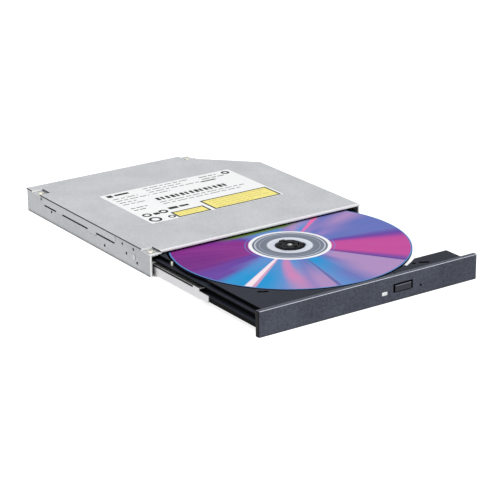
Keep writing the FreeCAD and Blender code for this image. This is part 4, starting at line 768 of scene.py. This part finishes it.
# Traverse and its drive
# A pressed steel frame on rubber grommets that carries ground guide rods, the sled motor with
# its rolled screw, and the spindle motor's base, core and copper windings.
dress("traverse_base", surface("traverse_steel", paint(150, 151, 154), 0.4, metallic=0.9))
ground = surface("ground_steel", paint(222, 223, 226), 0.14, metallic=1.0, edge=0.1)
dress("guide_rods", ground)
rubber = surface("grommet_rubber", paint(34, 34, 36), 0.75, grain_mm=0.5, mottle=0.1, edge=0.1)
dress("damper_grommets", rubber)
dress("sled_motor", surface("motor_can", paint(196, 197, 200), 0.3, metallic=1.0))
dress("lead_screw", turned_steel)
dress("spindle_base", surface("base_sheet", scaled(ZINC, 0.9), 0.42, metallic=0.9))
dress("stator_core", surface("laminated_core", paint(120, 122, 128), 0.42, metallic=0.9, stretch=(1, 1, 20)))
dress("stator_coils", winding("stator_winding", "Z"))
dress("spindle_bearing", surface("sintered_bronze", paint(170, 138, 88), 0.5, metallic=0.9, grain_mm=0.3,
                                 relief=0.5))


# Pickup
# A die-cast sled on the two rods with a steel cover, two laser cans, magnets and a black holder
# on four wires, which carries the coated glass lens.
dress("pickup_body", surface("die_cast", paint(140, 141, 146), 0.5, metallic=0.9, relief=0.5))
dress("pickup_cover", surface("pickup_sheet", paint(190, 191, 194), 0.36, metallic=0.95))
dress("laser_diodes", gilded)
dress("detector_board", amber)
dress("rack_nut", ivory)
dress("actuator_magnets", surface("nickel_magnets", paint(196, 196, 200), 0.2, metallic=1.0))
dress("lens_holder", surface("holder_plastic", paint(30, 30, 32), 0.45, mottle=0.08))
bronze = surface("bronze_wires", paint(206, 160, 96), 0.28, metallic=1.0, grain_mm=0.4, edge=0.0)
wires = bendable("suspension_wire_set", "suspension_wires", bronze, 10, ACROSS)
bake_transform(wires)
made, tree, shader = material("coated_lens")
skin = use(tree, grain, Scale=500.0)
coating = mixed(tree, skin["Patch"], paint(170, 186, 236), paint(196, 178, 232))
feed(tree, coating, shader.inputs["Base Color"])
feed(tree, grained(tree, skin, 0.02, 0.05), shader.inputs["Roughness"])
shader.inputs["Transmission Weight"].default_value = 0.9
shader.inputs["IOR"].default_value = 1.6
dress("objective_lens", made)


# Spindle, hub and claws
# A steel bell on a ground shaft, a moulded turntable with a rubber ring, and the black hub whose
# three sprung claws hold the disc. A bright pin head shows in the middle of the hub.
dress("spindle_shaft", ground)
dress("spindle_rotor", surface("drawn_bell", paint(196, 197, 202), 0.24, metallic=1.0))
dress("turntable", surface("turntable_plastic", paint(40, 40, 43), 0.45, mottle=0.08))
dress("turntable_pad", rubber)
# Sharp edges get a painted highlight and corners painted shade
hub_black = surface("hub_plastic", paint(24, 25, 28), 0.4, gloss=0.03, grain_mm=0.8, mottle=0.2, relief=0.5,
                    edge=0.35, highlight_colour=paint(96, 100, 110), reach_mm=1.5, corner_shade=0.95)
dress("hub", hub_black)
for number in (1, 2, 3):
    dress("hub_claw_" + str(number), hub_black)


def lathe(profile, place, segments, closed):
    """Spins a profile of (radius, height) points about an upright axis."""
    mesh = bmesh.new()
    points = [mesh.verts.new((radius * MM, 0, height * MM)) for radius, height in profile]
    line = [mesh.edges.new(pair) for pair in zip(points, points[1:] + points[:1] * closed)]
    bmesh.ops.spin(mesh, geom=points + line, cent=(0, 0, 0), axis=(0, 0, 1), angle=2 * math.pi,
                   steps=segments, use_merge=True, use_duplicate=False)
    bmesh.ops.remove_doubles(mesh, verts=mesh.verts, dist=1e-7)
    bmesh.ops.recalc_face_normals(mesh, faces=mesh.faces)
    bmesh.ops.translate(mesh, verts=mesh.verts, vec=place * MM)
    return mesh


hub_top = extent("hub")[1].z
PIN_HEAD = [(0.0, 0.16), (0.4, 0.15), (0.75, 0.1), (0.9, 0.0), (0.95, -0.1), (1.25, -0.16), (1.3, -0.32),
            (0.0, -0.32)]
head = lathe(PIN_HEAD, HUB + Vector((0, 0, hub_top - 0.1)), 48, False)
pin_steel = surface("turned_pin", paint(176, 176, 174), 0.45, metallic=0.7, edge=0.2)
piece("spindle_pin_head", head, pin_steel, "spindle")


# Disc
# A moulded polycarbonate disc: a clear middle with a stacking ridge and moulded steps, then the
# mirror layer, and a clear outer rim. The sectors of colour from light split by its tracks, its
# reflections and its shade are painted on by direction and radius, and turn with the disc.
DISC_LOW = 9.7
DISC_TOP = 10.9
DISC_R = 60.0
EDGE = 0.16
# Along the underside, round the rim, and back over the top with its steps and moulded rings
DISC_PROFILE = [
    (7.5, DISC_LOW + 0.12), (7.62, DISC_LOW), (16.6, DISC_LOW), (16.8, DISC_LOW - 0.14),
    (17.4, DISC_LOW - 0.14), (17.6, DISC_LOW), (DISC_R - EDGE, DISC_LOW), (DISC_R, DISC_LOW + EDGE),
    (DISC_R, DISC_TOP - EDGE), (DISC_R - 0.05, DISC_TOP - 0.05), (DISC_R - EDGE, DISC_TOP),
    (59.3, DISC_TOP), (59.2, DISC_TOP - 0.02), (22.2, DISC_TOP - 0.02), (22.0, DISC_TOP - 0.05),
    (21.8, DISC_TOP - 0.02), (18.8, DISC_TOP - 0.02), (18.6, DISC_TOP), (18.4, DISC_TOP),
    (18.3, DISC_TOP - 0.12), (17.9, DISC_TOP - 0.12), (17.8, DISC_TOP), (15.2, DISC_TOP),
    (15.1, DISC_TOP - 0.06), (14.8, DISC_TOP - 0.06), (14.7, DISC_TOP), (11.1, DISC_TOP),
    (11.0, DISC_TOP - 0.04), (7.62, DISC_TOP - 0.04), (7.5, DISC_TOP - 0.16)]
disc_mesh = lathe(DISC_PROFILE, HUB, 256, True)

BLUE = paint(104, 118, 190)
LILAC = paint(150, 130, 196)
MAUVE = paint(178, 144, 196)
SKY = paint(92, 146, 212)
CYAN = paint(0, 152, 216)
PLUM = paint(140, 44, 140)
DEEP_PLUM = paint(120, 34, 134)
PURPLE = paint(104, 62, 164)
ROSE = paint(214, 160, 198)
HOT = paint(198, 78, 158)
PALE = paint(255, 236, 243)
OLIVE = paint(104, 130, 54)
PINK = paint(216, 134, 186)
TRACKS = 0.06
FLAME_SWING = 0.87
MIRROR_START = 20.3
MIRROR_FULL = 20.8
STACKING_LINE = 22.1
RIM_START = 59.0
EDGE_START = 59.9
# Narrow painted streaks of light split by the tracks, with a pale painted glint
STREAKS = [(257.6, 0.8, 1.2, scaled(BLUE, 0.8)), (304.6, 0.8, 0.8, scaled(PURPLE, 0.8)),
           (37.2, 2.2, 1.2, paint(236, 118, 176)), (216.4, 4.2, 0.7, ROSE), (215.2, 2.8, 0.7, PALE)]
# Painted colours of the light split by the tracks, by direction in degrees from +X, close to the middle and
# out by the rim
NEAR_HUB = [(0, BLUE), (12, LILAC), (22, BLUE), (32, LILAC), (42, SKY), (51, MAUVE), (60, LILAC), (70, SKY),
            (96, SKY), (118, BLUE), (127, PURPLE), (134, PLUM), (174, PLUM), (190, PURPLE), (200, SKY),
            (226, SKY), (240, SKY), (252, BLUE), (259, CYAN), (270, CYAN), (282, BLUE), (290, MAUVE),
            (303, MAUVE), (306, PLUM), (312, HOT), (337, HOT), (344, PURPLE), (352, BLUE)]
NEAR_RIM = [(0, BLUE), (12, BLUE), (22, MAUVE), (32, BLUE), (44, MAUVE), (56, LILAC), (118, PURPLE),
            (132, PURPLE), (150, PLUM), (168, DEEP_PLUM), (180, DEEP_PLUM), (189, PURPLE), (198, PURPLE),
            (204, CYAN), (224, CYAN), (231, SKY), (240, MAUVE), (246, LILAC), (250, MAUVE), (256, MAUVE),
            (260, SKY), (270, BLUE), (282, MAUVE), (303, MAUVE), (306, PURPLE), (312, HOT), (336, HOT),
            (344, PURPLE), (352, BLUE)]
# Painted tones of the clear middle by radius: reflections, bright rings of highlight and what shows through
# it
MIDDLE = [(7.4, paint(206, 212, 226)), (11.0, paint(226, 231, 240)), (11.6, paint(124, 131, 146)),
          (14.6, paint(118, 126, 142)), (14.9, paint(176, 182, 196)), (15.3, paint(116, 124, 140)),
          (16.8, paint(128, 136, 152)), (17.1, paint(206, 212, 224)), (17.7, paint(180, 188, 202)),
          (17.9, paint(88, 94, 110)), (18.5, paint(112, 120, 138)), (18.8, paint(252, 252, 255)),
          (20.2, paint(250, 250, 254)), (20.5, paint(206, 208, 230))]


def ramp(tree, value, stops):
    """A colour ramp with its stops in order."""
    made = put(tree, "ValToRGB", None, Fac=value)
    bar = made.color_ramp.elements
    while len(bar) > 1:
        bar.remove(bar[-1])
    stops = sorted(stops, key=lambda stop: stop[0])
    bar[0].position, bar[0].color = stops[0]
    for position, colour in stops[1:]:
        bar.new(position).color = colour
    return made.outputs["Color"]


def around(stops):
    """Stops by direction in degrees, as shares of a turn that starts opposite +X."""
    return [((degrees + 180) % 360 / 360, colour) for degrees, colour in stops]


def streak(tree, angle, degrees, width, softness):
    """One where the angle is within half a width of a direction, fading over softness."""
    off = maths(tree, "ABSOLUTE", maths(tree, "SUBTRACT", angle, (degrees + 180) % 360 / 360))
    return ranged(tree, off, width / 720, (width / 2 + softness) / 360, 1, 0)


made, tree, shader = material("disc_faces")
spot = put(tree, "TexCoord").outputs["Object"]
centred = put(tree, "Mapping", None, Vector=spot, Location=tuple(-part * MM for part in HUB)).outputs[0]
parts = put(tree, "SeparateXYZ", None, Vector=centred).outputs
level = put(tree, "CombineXYZ", None, X=parts["X"], Y=parts["Y"]).outputs[0]
radius = put(tree, "VectorMath", {"operation": "LENGTH"}, i0=level).outputs["Value"]
angle = put(tree, "TexGradient", {"gradient_type": "RADIAL"}, Vector=level).outputs["Fac"]
outward = ranged(tree, radius, 24 * MM, 46 * MM)
colours = mixed(tree, outward, ramp(tree, angle, around(NEAR_HUB)), ramp(tree, angle, around(NEAR_RIM)))
direction = put(tree, "VectorMath", {"operation": "NORMALIZE"}, i0=level).outputs[0]
rays = put(tree, "TexNoise", None, Vector=direction, Scale=16.0, Detail=4.0).outputs[0]
colours = mixed(tree, ranged(tree, rays, 0.4, 0.7, 0.0, TRACKS), colours, MAUVE)
# An olive band painted where the lid's front edge stands over the disc, as a reflection
lid_edge_reflection = product(tree, streak(tree, angle, 92.0, 66.0, 14.0),
               ranged(tree, parts["Y"], 21.6 * MM, 24.6 * MM), ranged(tree, parts["Y"], 58 * MM, 27 * MM))
colours = mixed(tree, lid_edge_reflection, colours, OLIVE)
# A pink painted streak of split light that bends with the radius
swing = product(tree, maths(tree, "SUBTRACT", radius, 40 * MM), FLAME_SWING)
flame = product(tree, streak(tree, maths(tree, "SUBTRACT", angle, swing), 235.5, 4.0, 5.0),
                ranged(tree, radius, 44 * MM, 57 * MM, 0.85, 0.2))
colours = mixed(tree, flame, colours, PINK)
for degrees, width, softness, colour in STREAKS:
    colours = mixed(tree, streak(tree, angle, degrees, width, softness), colours, colour)
off_line = maths(tree, "ABSOLUTE", maths(tree, "SUBTRACT", radius, STACKING_LINE * MM))
colours = mixed(tree, ranged(tree, off_line, 0.15 * MM, 0.4 * MM, 0.6, 0), colours, paint(88, 140, 214))
middle = ramp(tree, maths(tree, "MULTIPLY", radius, 1 / (DISC_R * MM)),
              [(size / DISC_R, colour) for size, colour in MIDDLE])
base = mixed(tree, ranged(tree, radius, MIRROR_START * MM, MIRROR_FULL * MM), middle, colours)
# The clear rim's light blue band, then the disc's side painted near black as shade
base = mixed(tree, ranged(tree, radius, RIM_START * MM, (RIM_START + 0.3) * MM), base, paint(88, 136, 196))
base = mixed(tree, ranged(tree, radius, EDGE_START * MM, (EDGE_START + 0.03) * MM), base, paint(14, 16, 34))
# Painted shade on the mirror layer where parts stand close over it, as under the lid's front edge
shade = product(tree, use(tree, corner_shade_group, Reach=3.0 * MM, Amount=0.93)["Mask"],
                ranged(tree, radius, 20.5 * MM, 22 * MM))
base = mixed(tree, shade, base, paint(14, 14, 20))
feed(tree, base, shader.inputs["Base Color"])
skin = use(tree, grain, Scale=300.0)
feed(tree, grained(tree, skin, 0.28, 0.34), shader.inputs["Roughness"])
shader.inputs["Specular IOR Level"].default_value = 0.01
disc = piece("disc_moulding", disc_mesh, made, "spindle", smooth=30)
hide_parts("disc")


# Stage, lamps and camera
# A pale floor, two soft boxes and a plain white surround. The camera stands in front and to the
# left, well back with a long lens, a little above the drive.
def plain_view(tree):
    """One for rays that see the background: from the camera, from gloss and through glass."""
    seen = put(tree, "LightPath").outputs
    either = maths(tree, "MAXIMUM", seen["Is Camera Ray"], seen["Is Glossy Ray"])
    return maths(tree, "MAXIMUM", either, seen["Is Transmission Ray"])


FLOOR_HALF = 6.0
FLOOR_TONE = (0.86, 0.86, 0.86, 1)
FLOOR_SEEN = (0.62, 0.62, 0.62, 1)
FLOOR_GLOW = 0.76
SURROUND_LIGHT = 0.42
floor_mesh = bmesh.new()
bmesh.ops.create_grid(floor_mesh, x_segments=1, y_segments=1, size=FLOOR_HALF)
made, tree, shader = material("studio_floor")
shader.inputs["Base Color"].default_value = FLOOR_TONE
shader.inputs["Roughness"].default_value = 0.9
shader.inputs["Specular IOR Level"].default_value = 0.0
glow = put(tree, "Emission", None, Color=(1, 1, 1, 1), Strength=FLOOR_GLOW).outputs[0]
shade = put(tree, "BsdfDiffuse", None, Color=FLOOR_SEEN).outputs[0]
lit = put(tree, "AddShader", None, i0=shade, i1=glow).outputs[0]
feed(tree, put(tree, "MixShader", None, Fac=plain_view(tree), i1=shader.outputs[0], i2=lit).outputs[0],
     tree.nodes["Material Output"].inputs["Surface"])
piece("studio_floor", floor_mesh, made, None, smooth=0)

world = bpy.data.worlds.new("studio")
bpy.context.scene.world = world
world.use_nodes = True
tree = world.node_tree
background = tree.nodes["Background"]
background.inputs["Color"].default_value = (1, 1, 1, 1)
feed(tree, ranged(tree, plain_view(tree), 0, 1, SURROUND_LIGHT, 1.0), background.inputs["Strength"])

LAMPS = [("soft_box_high", (-0.35, -0.5, 1.3), 0.9, 11.0), ("soft_box_side", (-1.2, -0.6, 0.5), 0.7, 4.0)]
LAMPS_AIM = Vector((0, -0.04, 0))
for name, place, size, power in LAMPS:
    lamp = bpy.data.lights.new(name, "AREA")
    lamp.shape = "DISK"
    lamp.size = size
    lamp.energy = power
    shown = bpy.data.objects.new(name, lamp)
    shown.location = place
    shown.rotation_euler = (LAMPS_AIM - Vector(place)).to_track_quat("-Z", "Y").to_euler()
    bpy.context.scene.collection.objects.link(shown)

TURN = math.radians(-34.37)
TILT = math.radians(20.061)
ROLL = math.radians(-0.465)
AIM = Vector((0.0, -0.05305, 0.006))
SHIFT_RIGHT = 0.001209
SHIFT_DOWN = 0.007547
AWAY = 0.94284
LENS = 134.04
back = Vector((math.sin(TURN) * math.cos(TILT), -math.cos(TURN) * math.cos(TILT), math.sin(TILT)))
right = Vector((math.cos(TURN), math.sin(TURN), 0))
up = back.cross(right)
rolled_right = math.cos(ROLL) * right + math.sin(ROLL) * up
rolled_up = math.cos(ROLL) * up - math.sin(ROLL) * right
stand = AIM + SHIFT_RIGHT * rolled_right - SHIFT_DOWN * rolled_up + AWAY * back
camera = bpy.data.cameras.new("camera")
camera.lens = LENS
camera.sensor_width = 36.0
camera.clip_end = 50.0
holder = bpy.data.objects.new("camera", camera)
axes = Matrix((rolled_right, rolled_up, back)).transposed()
holder.matrix_world = Matrix.Translation(stand) @ axes.to_4x4()
bpy.context.scene.collection.objects.link(holder)
bpy.context.scene.camera = holder
bpy.context.scene.view_settings.view_transform = "Standard"
